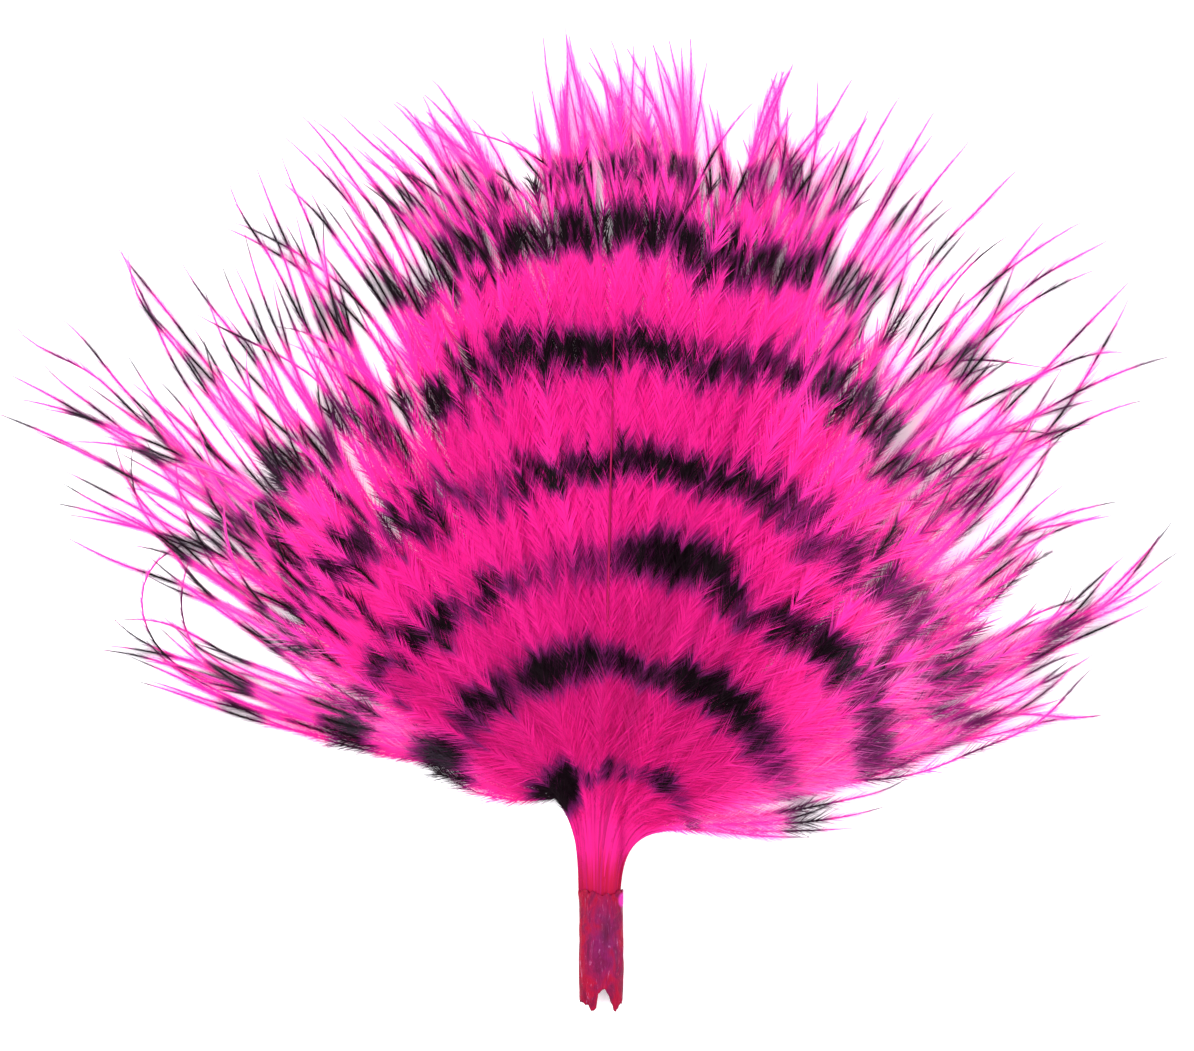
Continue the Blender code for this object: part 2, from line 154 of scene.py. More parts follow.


# %% [markdown]
# ## Where the barbs go
#
# The outline of a plume is made by a few dozen locks, each a handful of barbs that cling
# together and part again near their tips. Those are listed one by one, from the lower left
# clockwise. The middle is an even spread of shorter barbs whose tips stop inside the fan.

# %% The locks of the outline
# lead bearing; tip in mm; heading at the tip; barbs; how far their tips spread in mm; layer
LOCKS = (
    (-62, -49.6, 24.1, -78, 9, 1.3, 0.3), (-59, -47.9, 27.1, -46, 5, 1.2, 0.5),
    (-62, -46.5, 22.9, -64, 5, 0.8, 0.1), (-57, -44, 26, -50, 4, 1.4, 0.4),
    (-55, -53.7, 40, -60, 3, 0.8, 0.6), (-50, -54.5, 38, -84, 4, 1, 0.2),
    (-56, -44.5, 35.5, -52, 7, 2.6, 0.4), (-53, -48.2, 44.3, -24, 5, 2, 0.5),
    (-57, -41.4, 43.5, 4, 3, 1, 0.9), (-54, -39.5, 46, -12, 4, 2, 0.8),
    (-47, -60.1, 47.1, -72, 4, 1.2, 0.3), (-38, -58.1, 48.3, -88, 3, 0.8, 0.8),
    (-41, -58.8, 50.9, -66, 4, 1, 0.5), (-49, -57.1, 56.8, -47, 7, 1.4, 0.2),
    (-51, -45.5, 47.5, -36, 7, 2.6, 0.3), (-49, -47, 53.1, -34, 5, 2, 0.6),
    (-43, -47.9, 63.8, -33, 4, 1.4, 0.4), (-46, -45.5, 57.8, -42, 5, 1.4, 0.7),
    (-38, -41.5, 62.5, -34, 5, 2.4, 0.2), (-43, -40.5, 56, -32, 7, 2.6, 0.4),
    (-41, -34.6, 53.3, -4, 3, 1.2, 0.9), (-33, -36.3, 70.8, -20, 4, 1.4, 0.5),
    (-20, -36.9, 65.9, -78, 4, 1.2, 0.8), (-34, -35.1, 65, -12, 5, 2, 0.4),
    (-29, -34.3, 71.8, -20, 4, 1.2, 0.7), (-31, -31.5, 73, -14, 4, 1.4, 0.3),
    (-34, -30, 62, -22, 7, 3, 0.5), (-18, -29.9, 77, -45, 7, 1.6, 0.5),
    (-21, -28.8, 73.5, -38, 7, 2.4, 0.3), (-24, -26, 68, -30, 7, 3, 0.6),
    (-13, -26.3, 77.2, -50, 7, 1.8, 0.7), (-11, -23, 76.5, -54, 7, 2.2, 0.4),
    (-9, -20.9, 78, -48, 9, 2, 0.3), (-6, -17.6, 80, -43, 10, 1.8, 0.6),
    (-14, -18, 72, -40, 7, 3, 0.4), (-4, -13.5, 76, -50, 8, 2.6, 0.3),
    (-3, -9, 74, -50, 5, 2.4, 0.3), (0, -5.6, 84.8, -12, 8, 1.4, 0.3),
    (1, -3.3, 85.1, -8, 9, 1.4, 0.6), (4, -1.4, 83.6, -32, 10, 1.4, 0.4),
    (3, 0.6, 84.3, -10, 8, 1.6, 0.7), (7, 2.3, 83.6, -36, 9, 1.6, 0.3),
    (9, 4.9, 84, -20, 5, 1.2, 0.5), (10, 6.7, 84.4, -12, 5, 1.2, 0.4),
    (11, 8.6, 84.6, -4, 5, 1.2, 0.6), (12, 10.5, 78, -14, 8, 2, 0.4),
    (12.5, 11.5, 71, -4, 9, 2, 0.4),
    (6, 15.4, 77.8, 48, 1, 0.5, 0.9), (15, 16.4, 80.6, -24, 5, 1.4, 0.3),
    (14, 19.2, 82, 18, 8, 1.6, 0.5), (17, 22, 80.5, 8, 7, 1.6, 0.4),
    (16, 25.4, 80.4, 38, 8, 1.6, 0.7), (20, 26.7, 77.6, 24, 7, 1.8, 0.3),
    (21, 30, 78.8, 35, 7, 1.8, 0.5), (24, 33.2, 77.2, 34, 7, 1.8, 0.4),
    (25, 36.5, 74.6, 44, 5, 1.6, 0.6), (29, 41.5, 71.2, 50, 1, 0.6, 0.8),
    (22, 25, 70, 30, 7, 3, 0.4), (30, 33.5, 70, 38, 5, 2.6, 0.3),
    (34, 30.6, 64.5, 14, 5, 2.4, 0.4), (35, 37.5, 64, 44, 5, 3, 0.3),
    (40, 44.1, 66.3, 38, 4, 1.2, 0.5), (31, 47.9, 66, 64, 3, 1, 0.9),
    (39, 50.4, 64.5, 68, 4, 1.4, 0.4), (41, 42, 57.5, 40, 7, 3, 0.3),
    (45, 52.4, 60.3, 44, 4, 1.4, 0.5), (31, 52.1, 52.3, 94, 3, 0.8, 0.9),
    (44, 56.4, 52.6, 76, 4, 1.2, 0.4), (49, 45.5, 51, 30, 6, 3, 0.3),
    (52, 45.7, 45.1, 36, 6, 2.6, 0.5), (54, 46, 40, 42, 6, 2.6, 0.3),
    (56, 51.4, 38.1, 78, 4, 1.4, 0.4), (59, 45, 35.5, 56, 7, 2.6, 0.5),
    (63, 56.4, 36.5, 42, 4, 1.2, 0.3), (64, 57.4, 33.1, 54, 4, 1.4, 0.5),
    (66, 47.5, 28.5, 58, 8, 2.6, 0.4), (68, 54.4, 28, 60, 7, 1.8, 0.4),
    (70, 48.6, 23.5, 58, 8, 2.2, 0.3), (74, 42, 19, 62, 7, 2.4, 0.2),
    (78, 32.4, 14.3, 66, 4, 1.8, 0.4), (81, 28, 13, 62, 3, 1.8, 0.3),
    (88, 27.7, 8.3, 72, 4, 1.6, 0.3), (91, 24.5, 6, 84, 3, 1.4, 0.2),
)
LEAD_JITTER = 0.8          # degrees
HEADING_JITTER = 7.0       # degrees at the top, and twice that at this lead:
HEADING_DOUBLES = 80.0
FIRST_TURNS = 0.3          # share of that by which a lock's first barb turns
LEAD_OF_SWING = 0.25       # share of a tip's swing by which its lead swings too
SHORTEST_IN_LOCK = 0.78    # a lock's shorter barbs stop at this share of its reach
SHORTEST_AT_TOP = 0.86     # and nearer its tip in the top locks, which cling together more
TOP_LEADS = 17.0
TIP_TOO_FINE = 1.0 * MM    # the last stretch of a tip is too fine to be seen
LAYER_JITTER = 0.2
TOP_LAYER = 0.96


def lock_barbs():
    """Leads, tips, headings and layers of all barbs in the locks. The first barb of a lock
    reaches its tip and the others stop short of it, spread to both sides."""
    rows = np.array(LOCKS, float)
    which = np.repeat(np.arange(len(rows)), rows[:, 4].astype(int))
    first = np.concatenate([[True], which[1:] != which[:-1]])
    lead, x, y, heading, _, spread, layer = rows[which].T
    away = np.stack([x, y], axis=-1) * MM - FAN_CENTRE
    reach = np.linalg.norm(away, axis=-1)
    bearing = bearing_of(away)
    shortest = np.where(np.abs(lead) < TOP_LEADS, SHORTEST_AT_TOP, SHORTEST_IN_LOCK)
    share = np.where(first, 1.0, draw.uniform(shortest, 1.0))
    swing = np.where(first, 0.0, draw.normal(0, 1, len(which)) * np.degrees(spread * MM / reach))
    tips = FAN_CENTRE + (reach * share + TIP_TOO_FINE)[:, None] * bearing_vector(bearing + swing)
    leads = lead + draw.normal(0, LEAD_JITTER, len(which)) + LEAD_OF_SWING * swing
    leads = np.maximum(leads, LEAD_LEFT + 1)
    turned = draw.normal(0, HEADING_JITTER, len(which)) * (1 + np.abs(lead) / HEADING_DOUBLES)
    headings = heading + np.where(first, FIRST_TURNS, 1.0) * turned + swing
    layers = layer + draw.uniform(-LAYER_JITTER, LAYER_JITTER, len(which))
    return leads, tips, headings, np.clip(layers, 0, TOP_LAYER)


# %% The short barbs of the middle
# lead bearing, and where the dense down of that stretch of the fan ends, in mm
FAN_RIM = (
    (-64, -24.5, 15), (-60, -24.5, 18), (-57, -29.5, 22.6), (-52, -34.6, 31),
    (-46, -32.8, 36.8), (-38, -29.7, 42.1), (-26, -22.2, 50.4), (-14, -15.2, 61),
    (-5, -7.2, 69), (-2, -2.8, 72), (1, 0.4, 76), (5, 5, 75), (9, 9.8, 71),
    (12, 12.9, 65.5), (15, 16.4, 65.5), (22, 23.6, 59), (34, 29.8, 47), (46, 34.6, 36.8),
    (58, 37.5, 27), (69, 34, 18.6), (78, 23, 11.6),
)
MIDDLE_BARBS = 440
MIDDLE_SHORTEST, MIDDLE_LONGEST = 0.45, 1.06
MIDDLE_BEARING = 5.0       # degrees, where the fan is at its fullest
FULL_TO_SIDES = 22.0       # degrees to either side, within which most short barbs are long:
FULL_POWER = 0.6           # there a random share is raised to this power
AIM_JITTER, MIDDLE_LEAD_JITTER, MIDDLE_HEADING_JITTER = 1.5, 3.0, 9.0    # degrees
SHORT_ON_TOP = 0.98        # layer of the shortest, and how far it falls to the longest:
LAYER_FALL, LAYER_SCATTER = 0.7, 0.35


def middle_barbs():
    """Evenly stepped leads with a little jitter. Each tip lies at a random share of the way
    from the fan's centre to the rim, and its heading is its bearing. The shortest barbs lie
    on top, as on the bird."""
    rim = np.array(FAN_RIM, float)
    steps = np.linspace(0, 1, MIDDLE_BARBS)
    aims = rim[0, 0] + (rim[-1, 0] - rim[0, 0]) * steps + draw.normal(0, AIM_JITTER, MIDDLE_BARBS)
    leads = aims + draw.normal(0, MIDDLE_LEAD_JITTER, MIDDLE_BARBS)
    leads = np.clip(leads, rim[0, 0] - 1, rim[-1, 0] + 1)
    ends = np.stack([np.interp(aims, rim[:, 0], rim[:, axis]) for axis in (1, 2)], axis=-1)
    full = np.abs(aims - MIDDLE_BEARING) < FULL_TO_SIDES
    long_ones = draw.uniform(0, 1, MIDDLE_BARBS) ** np.where(full, FULL_POWER, 1.0)
    share = MIDDLE_SHORTEST + (MIDDLE_LONGEST - MIDDLE_SHORTEST) * long_ones
    away = (ends * MM - FAN_CENTRE) * share[:, None]
    headings = bearing_of(away) + draw.normal(0, MIDDLE_HEADING_JITTER, MIDDLE_BARBS)
    layers = SHORT_ON_TOP - LAYER_FALL * (share - MIDDLE_SHORTEST)
    layers = layers - draw.uniform(0, LAYER_SCATTER, MIDDLE_BARBS)
    return leads, FAN_CENTRE + away, headings, layers


# %% [markdown]
# ## From plan to space
#
# The plan curve gets its height, then a slow sideways waver that grows towards the tip, as
# a loose hair has. Every curve is then cut into equal steps, so that the barbules that grow
# from it can be spaced in real millimetres.

# %% Barb lines in space
STATIONS = 48
CURVE_POINTS = 96
WAVER = 1.0 * MM           # sideways drift of a tip
WAVER_LENGTH = 26.0 * MM
WAVER_DOUBLES = 75.0       # degrees from the middle at which barbs drift twice as much
DROOP_LOWEST, DROOP_HIGHEST = 0.2, 0.8   # shares of the heap's height where tips lie
SHEET_FROM, SHEET_OVER = 0.10, 0.20      # layers whose barbs come up into the neck's sheet
SHEET_SHARE, SHEET_RISE = 0.92, 0.08     # share of the neck's height where the sheet lies
SHEET_ENDS, SHEET_FADES = 8.0 * MM, 4.0 * MM
SHEET_WIDE, SHEET_FALLS = 3.0, 2.2       # it fades from 0.91 to 1.36 half widths aside


def even_steps(lines):
    """The same curves with points at equal steps: each coordinate is read off at equal
    shares of the running length."""
    steps = np.linalg.norm(np.diff(lines, axis=1), axis=-1)
    run = np.concatenate([np.zeros((len(lines), 1)), np.cumsum(steps, axis=1)], axis=1)
    wanted = np.linspace(0, 1, STATIONS)
    even = [
        [np.interp(wanted, at / at[-1], line[:, axis]) for axis in range(3)]
        for at, line in zip(run, lines)
    ]
    return np.array(even).transpose(0, 2, 1), run[:, -1]


def raised(plan, layers):
    """Plan curves lifted to their layer's share of the heap's height. Towards the tip the
    share goes over to a droop of the barb's own. In the neck most barbs share one sheet just
    under the top, where they lie side by side as flat and even as satin."""
    t = np.linspace(0, 1, plan.shape[1])
    droop = draw.uniform(DROOP_LOWEST, DROOP_HIGHEST, (len(plan), 1))
    layer = layers[:, None]
    share = layer * (1 - t ** 4) + droop * t ** 4
    sheet = np.clip((layer - SHEET_FROM) / SHEET_OVER, 0, 1) * (SHEET_SHARE + SHEET_RISE * layer)
    low_down = np.clip((SHEET_ENDS - plan[..., 1]) / SHEET_FADES, 0, 1)
    off_edge = np.clip(SHEET_WIDE - SHEET_FALLS * np.abs(plan[..., 0]) / NECK_HALF_WIDTH, 0, 1)
    share = share + (sheet - share) * low_down * off_edge
    rise = LIFT_OFF_GROUND + (heap_height(plan) - 2 * LIFT_OFF_GROUND) * share
    return even_steps(np.concatenate([plan, rise[..., None]], axis=-1))


def barb_lines(leads, tips, headings, layers):
    """Points of each barb: its plan, moved sideways, and then raised. The drift is the sum of
    two sines of random phase, the second 2.3 times as quick and half as wide, times
    t^3 (1.5 - t), where t is the share run. It is greater for barbs at the sides."""
    t = np.linspace(0, 1, CURVE_POINTS)
    plan = barb_plan(leads, tips, headings, t)
    way = unit(np.gradient(plan, axis=1))
    aside = np.stack([way[..., 1], -way[..., 0]], axis=-1)
    reach = np.linalg.norm(tips - FAN_CENTRE, axis=-1)[:, None]
    phase = draw.uniform(0, 2 * np.pi, (2, len(leads), 1))
    waves = np.sin(2 * np.pi * t * reach / WAVER_LENGTH + phase[0])
    waves += 0.5 * np.sin(4.6 * np.pi * t * reach / WAVER_LENGTH + phase[1])
    looser = 1 + np.abs(leads - MIDDLE_BEARING)[:, None] / WAVER_DOUBLES
    drift = draw.normal(0, 0.5, (len(leads), 1)) * looser * WAVER * waves * t ** 3 * (1.5 - t)
    return raised(plan + aside * drift[..., None], layers)


def frames_along(lines):
    """Three unit vectors at every point: along the barb, level to its right, and upwards."""
    along = unit(np.gradient(lines, axis=1))
    level = np.stack([along[..., 1], -along[..., 0], np.zeros_like(along[..., 0])], axis=-1)
    right = unit(level)
    return along, right, np.cross(right, along)


# %% [markdown]
# ## Strays
#
# A few barbs have been bent out of their lock and lie across the others or curl back in the
# open. The rule cannot know those, so each is a route of its own, given one by one.

# %% The strays
# points in mm after the neck, from the inside outwards
STRAYS = (
    ((-2.6, 8.6), (-6, 11.4), (-13, 13.8), (-27, 17.6), (-38, 20), (-43.6, 22.4),
     (-46, 26.2), (-46.5, 29.3), (-45.8, 32), (-43.9, 34), (-41, 34.9), (-37.5, 35.2)),
    ((-2.6, 9), (-6, 12), (-13, 14.4), (-27, 18.2), (-36.5, 20.4), (-40.5, 23),
     (-42.1, 26.4), (-42.3, 29.2), (-41.4, 32.6), (-39.6, 36.6)),
    ((-1, 28), (-1.5, 50), (-1.9, 64), (-2.5, 69.8), (-4, 72), (-6, 73.3), (-9.3, 74.6),
     (-12.7, 75.5), (-17.2, 76.8)),
    ((-9, 20), (-18, 36), (-24.5, 46), (-27, 50), (-29.3, 52), (-32, 53.2),
     (-35.5, 54.8), (-39.5, 56.7), (-43.2, 59)),
    ((12, 24), (24, 42), (30, 50.2), (33.5, 52.8), (37.5, 53.2), (42.5, 52.2), (47.5, 51.6)),
    ((13, 25), (27, 46), (31.5, 54.5), (34.5, 60), (38.5, 64.2), (43.5, 66.8)),
    ((9, 22), (13, 45), (10.6, 60), (8, 67.5), (2.8, 71.5), (-1.2, 75.5)),
)
ROUNDING = 9               # neighbouring points averaged into one, twice


def stray_plans():
    """Each route, from the neck on, cut into equal steps and then rounded by averaging every
    point with its neighbours. The ends are held by repeating them."""
    plans = []
    for route in STRAYS:
        side = 0.6 * NECK_HALF_WIDTH * np.sign(route[0][0])
        start = np.array(((side, NECK_FOOT), (side, 5 * MM)))
        points = np.concatenate([start, np.array(route) * MM])
        run = np.concatenate([[0], np.cumsum(np.linalg.norm(np.diff(points, axis=0), axis=-1))])
        wanted = np.linspace(0, run[-1], CURVE_POINTS)
        plan = np.stack([np.interp(wanted, run, points[:, axis]) for axis in (0, 1)], axis=-1)
        for _ in range(2):
            padded = np.pad(plan, ((ROUNDING // 2, ROUNDING // 2), (0, 0)), mode="edge")
            windows = np.lib.stride_tricks.sliding_window_view(padded, ROUNDING, axis=0)
            plan = windows.mean(axis=-1)
        plans.append(plan)
    return np.array(plans)


# %% [markdown]
# ## The black bars
#
# The bars were put on while the barbs lay flat, so each lies on an arc round the neck. The
# barbs have shifted since, lock by lock, and each has slid a little on its own, so an arc is
# broken into ragged dabs, and where little dye was left it is only purple. A bar is listed
# as places along its arc. Each point of the down then gets two numbers from its nearest bar:
# how far off it lies, counted in half widths of the bar, and how strong the dye is there.

# %% Places along the bars
BAR_CENTRE = np.array((0.0, 3.8)) * MM
# bearing; distance from the centre in mm; width in mm; strength of the dye
BARS = (
    ((-75, 7, 2, 0), (-56, 7, 2.4, 0.3), (-47, 7.1, 3.4, 1), (-20, 7.3, 3.4, 1),
     (-16, 7.6, 1.6, 0.4),
     (-10, 6.9, 1.4, 0.7), (-4, 7.2, 1, 0.3), (4, 8, 1.8, 0.8), (9, 8, 1.2, 0.3),
     (15, 7.9, 1.4, 0.7), (22, 8.2, 1, 0.2), (32, 8.8, 1.4, 0.6), (42, 9, 1.8, 1),
     (52, 9, 1.2, 0.4), (62, 9, 1, 0.1)),
    ((-62, 17.4, 4.2, 1), (-55, 17.5, 4, 1), (-51, 18, 2.2, 0.4), (-42, 18.6, 3.2, 0.9),
     (-31, 18.4, 3, 0.85), (-27, 18.3, 3, 0.45), (-23, 18.3, 3.2, 0.8), (-18, 18.4, 3.6, 1),
     (-4, 18.9, 3.4, 1), (3, 18.6, 2.2, 0.8), (12, 18.2, 2.4, 0.9), (19, 17.6, 2.2, 0.85),
     (24, 19, 3.2, 1), (45, 19.2, 3.2, 1), (55, 18.6, 3.2, 0.8), (62, 18.5, 3, 0.5),
     (72, 18.8, 2, 0.2), (77, 20, 3.4, 0.8), (90, 20.4, 3.4, 0.8)),
    ((-70, 27.2, 3.8, 0.9), (-62, 27.3, 3.8, 0.9), (-57, 27.5, 2, 0.6), (-50, 28, 2.2, 0.6),
     (-43, 28, 3.2, 1), (-34, 28, 3.2, 1), (-30, 28, 2, 0.4), (-24, 28, 2.6, 1),
     (-20, 28, 2.2, 0.8), (-16, 28, 2, 0.35), (-6, 28.5, 3.4, 0.4), (2, 28.5, 3, 0.4),
     (5, 29, 3.4, 0.9), (12, 30, 4.4, 1), (19, 29.8, 4.2, 1), (26, 28.8, 3.6, 1),
     (32, 28, 2.4, 0.6), (38, 29, 3.4, 1), (48, 29.6, 3.2, 0.9), (54, 31, 3.4, 0.7),
     (60, 30, 3, 0.6), (70, 29, 3.4, 0.65), (78, 28.5, 3.6, 0.6)),
    ((-72, 39.2, 4, 0.9), (-62, 39, 4, 0.9), (-58, 38.4, 3.8, 1), (-50, 39, 4, 1),
     (-40, 39.2, 3.4, 1), (-35, 38.8, 3.4, 0.8), (-25, 38.5, 3.2, 0.8), (-17, 37.6, 2.4, 0.55),
     (-9, 37.8, 2.6, 1), (-3, 38.3, 2.6, 0.9), (5, 38.6, 2.8, 0.9), (12, 38.8, 3, 1),
     (23, 38.9, 3, 1), (28, 39.5, 3.4, 0.7), (34, 38.5, 3.4, 0.5), (45, 38.6, 3.6, 0.65),
     (55, 38.6, 3.6, 0.5), (68, 38.6, 3.8, 0.6)),
    ((-72, 51.2, 3.6, 1), (-50, 50, 4.2, 1), (-42, 50.3, 4.4, 0.9), (-30, 50.3, 4.4, 0.8),
     (-26, 48.4, 3.6, 0.9), (-16, 49.2, 3.4, 0.9), (-8, 50.4, 4, 1), (-1, 50.4, 3.8, 1),
     (2, 50, 3.2, 1), (6, 50, 3, 1), (11, 48.9, 3, 1), (15, 51, 3.4, 0.8),
     (24, 51.4, 3.6, 0.8), (30, 52.6, 4.2, 1), (38, 51, 4, 0.8), (50, 51, 4, 0.8),
     (60, 51.4, 4, 0.9), (70, 50, 5, 0.7)),
    ((-72, 62, 3.6, 0.9), (-40, 63.5, 4, 0.9), (-25, 61.5, 4.6, 0.9), (-14, 61.2, 4.4, 0.9),
     (-8, 61.4, 4, 1), (-2, 62.4, 3.8, 1), (3, 62.2, 4.2, 1), (8, 61.4, 4.6, 1),
     (13, 60.4, 4.6, 1), (18, 62, 4, 0.9), (26, 61, 4, 0.9), (40, 63, 4, 0.9),
     (70, 64, 4, 0.9)),
    ((-60, 71.5, 3.6, 0.8), (-25, 70.5, 4, 0.8), (-18, 68.8, 3.2, 0.8), (-10, 67.6, 2.6, 0.8),
     (-2, 68, 2.6, 0.9), (4, 69, 2.8, 0.9), (9, 68.2, 3.4, 0.9), (14, 70, 4, 0.8),
     (25, 70.5, 4, 0.8), (60, 72, 4, 0.8)),
)
SLIP_OF_LOCK = 0.5         # mm, halfway up the middle of the fan
SLIP_OF_BARB = 0.5         # mm, and towards the sides up to this many times as much:
SLIP_AT_SIDES = 4.0
SIDES_FROM_MIDDLE = 60.0   # degrees
SLIP_GROWS_TO = 46.0       # mm from the centre, beyond which slips grow no more
SLIP_OF_TUFT = 0.7         # mm
SLIP_OF_BARBULE = 0.40     # mm
STRENGTH_NOISE = 0.15      # along the arc and from barb to barb
HAIR_NOISE = 0.24          # from barbule to barbule
WIDER_NEAR, WIDER_FAR = 1.30, 0.92       # loose hairs widen the bars nearest the neck
FARTHEST = 3.0             # half widths, past which nothing of a bar shows


def slips_of(leads):
    """How far each barb's bars have slid along it: a noise shared by its neighbours, and its
    own, both greater towards the sides, where the barbs lie loose."""
    slips = SLIP_OF_LOCK * smooth_noise(leads, 2.5, 3) + draw.normal(0, SLIP_OF_BARB, len(leads))
    to_side = np.clip(np.abs(leads - MIDDLE_BEARING) / SIDES_FROM_MIDDLE, 0, 1)
    return slips * (1 + (SLIP_AT_SIDES - 1) * to_side)


def from_bar_centre(points):
    """The way from the bars' centre to each point, its length in mm and its bearing."""
    away = points[..., :2] - BAR_CENTRE
    return away, np.linalg.norm(away, axis=-1) / MM, bearing_of(away)


def bar_values(points, slips, fades):
    """For every point the distance from the centre in mm, negative below it, how far off the
    nearest bar it is in half widths, and that bar's strength, less its fade. A slip counts in
    full 40 mm out, and elsewhere times (distance / 40) to the power 1.5."""
    away, distance, bearing = from_bar_centre(points)
    slid = distance + slips * (np.minimum(distance, SLIP_GROWS_TO) / 40) ** 1.5
    wider = np.linspace(WIDER_NEAR, WIDER_FAR, len(BARS))
    nearest = np.full_like(distance, FARTHEST)
    strength = np.zeros_like(distance)
    for number, bar in enumerate(BARS):
        at, middle, width, strong = np.array(bar, float).T
        half = np.interp(bearing, at, width) / 2 * wider[number]
        off = np.abs(slid - np.interp(bearing, at, middle)) / half
        strong = np.interp(bearing, at, strong)
        strong = strong + STRENGTH_NOISE * smooth_noise(bearing, 1.5, 40 + number)
        strength = np.where(off < nearest, strong, strength)
        nearest = np.minimum(nearest, off)
    signed = np.where(away[..., 1] < 0, away[..., 1] / MM, distance)
    return signed, nearest, np.clip(strength - fades * (1.5 - strength), 0.0, 1.0)


# %% Where the down is thin
# Near the rim a single layer is left, and the light comes through it. The thick of the fan
# ends at: bearing; distance in mm
THIN_FROM = (
    (-75, 28), (-67, 26), (-63, 2), (-57, 2), (-52, 28), (-45, 28), (-25, 42), (-8, 54),
    (15, 52), (25, 38), (40, 24), (60, 11), (68, 3), (74, -12), (80, -20), (96, -20),
    (103, -8), (112, 14), (180, 20),
)
THIN_OVER = 22.0           # mm
NECK_DENSE, NECK_THINS = 3.0, 4.0        # mm from the centre, and over how many it thins


def thinness(points):
    """From 0 in the thick of the fan and in the neck to 1 at the fan's rim."""
    _, distance, bearing = from_bar_centre(points)
    start = np.interp(bearing, *np.array(THIN_FROM, float).T)
    out_of_neck = np.clip((distance - NECK_DENSE) / NECK_THINS, 0, 1)
    return np.clip((distance - start) / THIN_OVER, 0, 1) * out_of_neck


# %% [markdown]
# ## Stems and barbules
#
# A stem is a strip in the neck, where it lies flat on its neighbours, and farther out a thin
# tube of three sides that tapers to a point. The barbules stand on it like the teeth of two
# combs: one tooth is a triangle whose base is a step or two of the stem and whose point lies
# off at a slant, so a barb is dense along its stem and fades out to both sides. Past the down
# they cling to the stem, and the barb becomes a narrow ribbon. Real barbules are finer than a
# hundredth of a millimetre. These are drawn several times coarser, so that they still show
# and the whole feather stays light enough to use.

# %% The stems
STEM_RUNS = np.array((0.0, 6.0, 11.0, 18.0)) * MM
STEM_HALF_WIDTHS = np.array((0.24, 0.22, 0.13, 0.10)) * MM
STEM_HALF_HEIGHTS = np.array((0.05, 0.05, 0.06, 0.075)) * MM
STEM_TAPER = 6.0 * MM      # the last stretch, over which a stem thins to its point
STEM_POINT = 0.25          # share of its width that is left at the point


def stem_mesh(lines, lengths):
    """Three points round every station of every barb, at 90, 210 and 330 degrees. Sides join
    neighbouring rings, and a triangle closes each end."""
    along, right, up = frames_along(lines)
    run = lengths[:, None] * np.linspace(0, 1, STATIONS)
    taper = np.clip((lengths[:, None] - run) / STEM_TAPER, STEM_POINT, 1.0)
    right = right * (np.interp(run, STEM_RUNS, STEM_HALF_WIDTHS) * taper)[..., None]
    up = up * (np.interp(run, STEM_RUNS, STEM_HALF_HEIGHTS) * taper)[..., None]
    turns = np.radians((90.0, 210.0, 330.0))
    ring = [right * math.cos(a) + up * math.sin(a) for a in turns]
    verts = lines[:, :, None] + np.stack(ring, axis=2)
    barb, station, corner = np.indices((len(lines), STATIONS - 1, 3))
    near = (barb * STATIONS + station) * 3
    after = (corner + 1) % 3
    sides = np.stack([near + corner, near + 3 + corner, near + 3 + after, near + after], axis=-1)
    roots = np.arange(len(lines))[:, None] * STATIONS * 3 + np.array((0, 1, 2))
    points = roots[:, ::-1] + (STATIONS - 1) * 3
    return verts.reshape(-1, 3), sides.reshape(-1, 4), np.concatenate([roots, points])


# %% The barbules
BARBULE_START = 7.0 * MM
WIDE_ANGLE, FAR_ANGLE = 25.0, 18.0       # degrees off the stem, near the neck and far out
BRUSH_ANGLE = 9.5          # in the outer stretch, where the barbules cling to the stem
BRUSH_TAPER = 8.0 * MM
SHORTEST_BARBULE, LONGEST_BARBULE = 0.60, 1.15
BASE_WIDENS = 36.0 * MM    # run from which a barbule's base spans more than one step
TUFT = 1.1 * MM            # barbules cling together in tufts about this long
TUFT_REACH, TUFT_SWING = 0.30, 9.0
ROLL, ROLL_LENGTH = 45.0, 12.0 * MM      # degrees by which a barb twists, and over how far
COMB_ENDS = 0.99           # share of a barb's length where its last barbule stands
CLOSING = 1.3              # the barbules' angle closes over the last 1 / 1.3 of a barb
GROWN_OVER = 8.0 * MM      # run over which barbules grow to their full length
GROWN_POWER = 0.7          # they grow with this power of the share of it
TIP_LEFT = 0.08            # share of their length that the barbules at a tip have
CLING_BEFORE, CLING_OVER = 0.16, 0.22    # shares of a barb over which they begin to cling
CLING_EVENS = 0.8          # share of their unevenness that clinging barbules lose
STEP_JITTER = 0.3          # of a step
SLANT_JITTER = 5.0         # degrees
TILT, TILT_JITTER = 10.0, 16.0           # degrees by which barbules stand up
BARBULE_LOWEST = 0.05 * MM
NOISE_APART = 2.9 * MM     # from the place in a noise of one barb to that of the next


def noise_place(run, barb):
    """Where a barbule reads a noise: at its run, plus a place of its barb's own."""
    return run + NOISE_APART * (barb % 50)


def clinging(run, length, down_ends):
    """0 in the down and 1 in the outer stretch, where the barbules cling to the stem. Between
    them x, the share of the way, goes over smoothly: x^2 (3 - 2x)."""
    past = np.clip((run / length - down_ends + CLING_BEFORE) / CLING_OVER, 0, 1)
    return past ** 2 * (3 - 2 * past)


def barbule_length(run, length, longest, brush, cling):
    """Grows over the first stretch out of the neck, keeps its length through the down, goes
    over to the brush's length, and tapers with the tip."""
    grown = np.clip((run - BARBULE_START) / GROWN_OVER, 0, 1) ** GROWN_POWER
    tapered = brush * np.clip((length - run) / BRUSH_TAPER, TIP_LEFT, 1)
    return grown * (longest * (1 - cling) + tapered * cling)


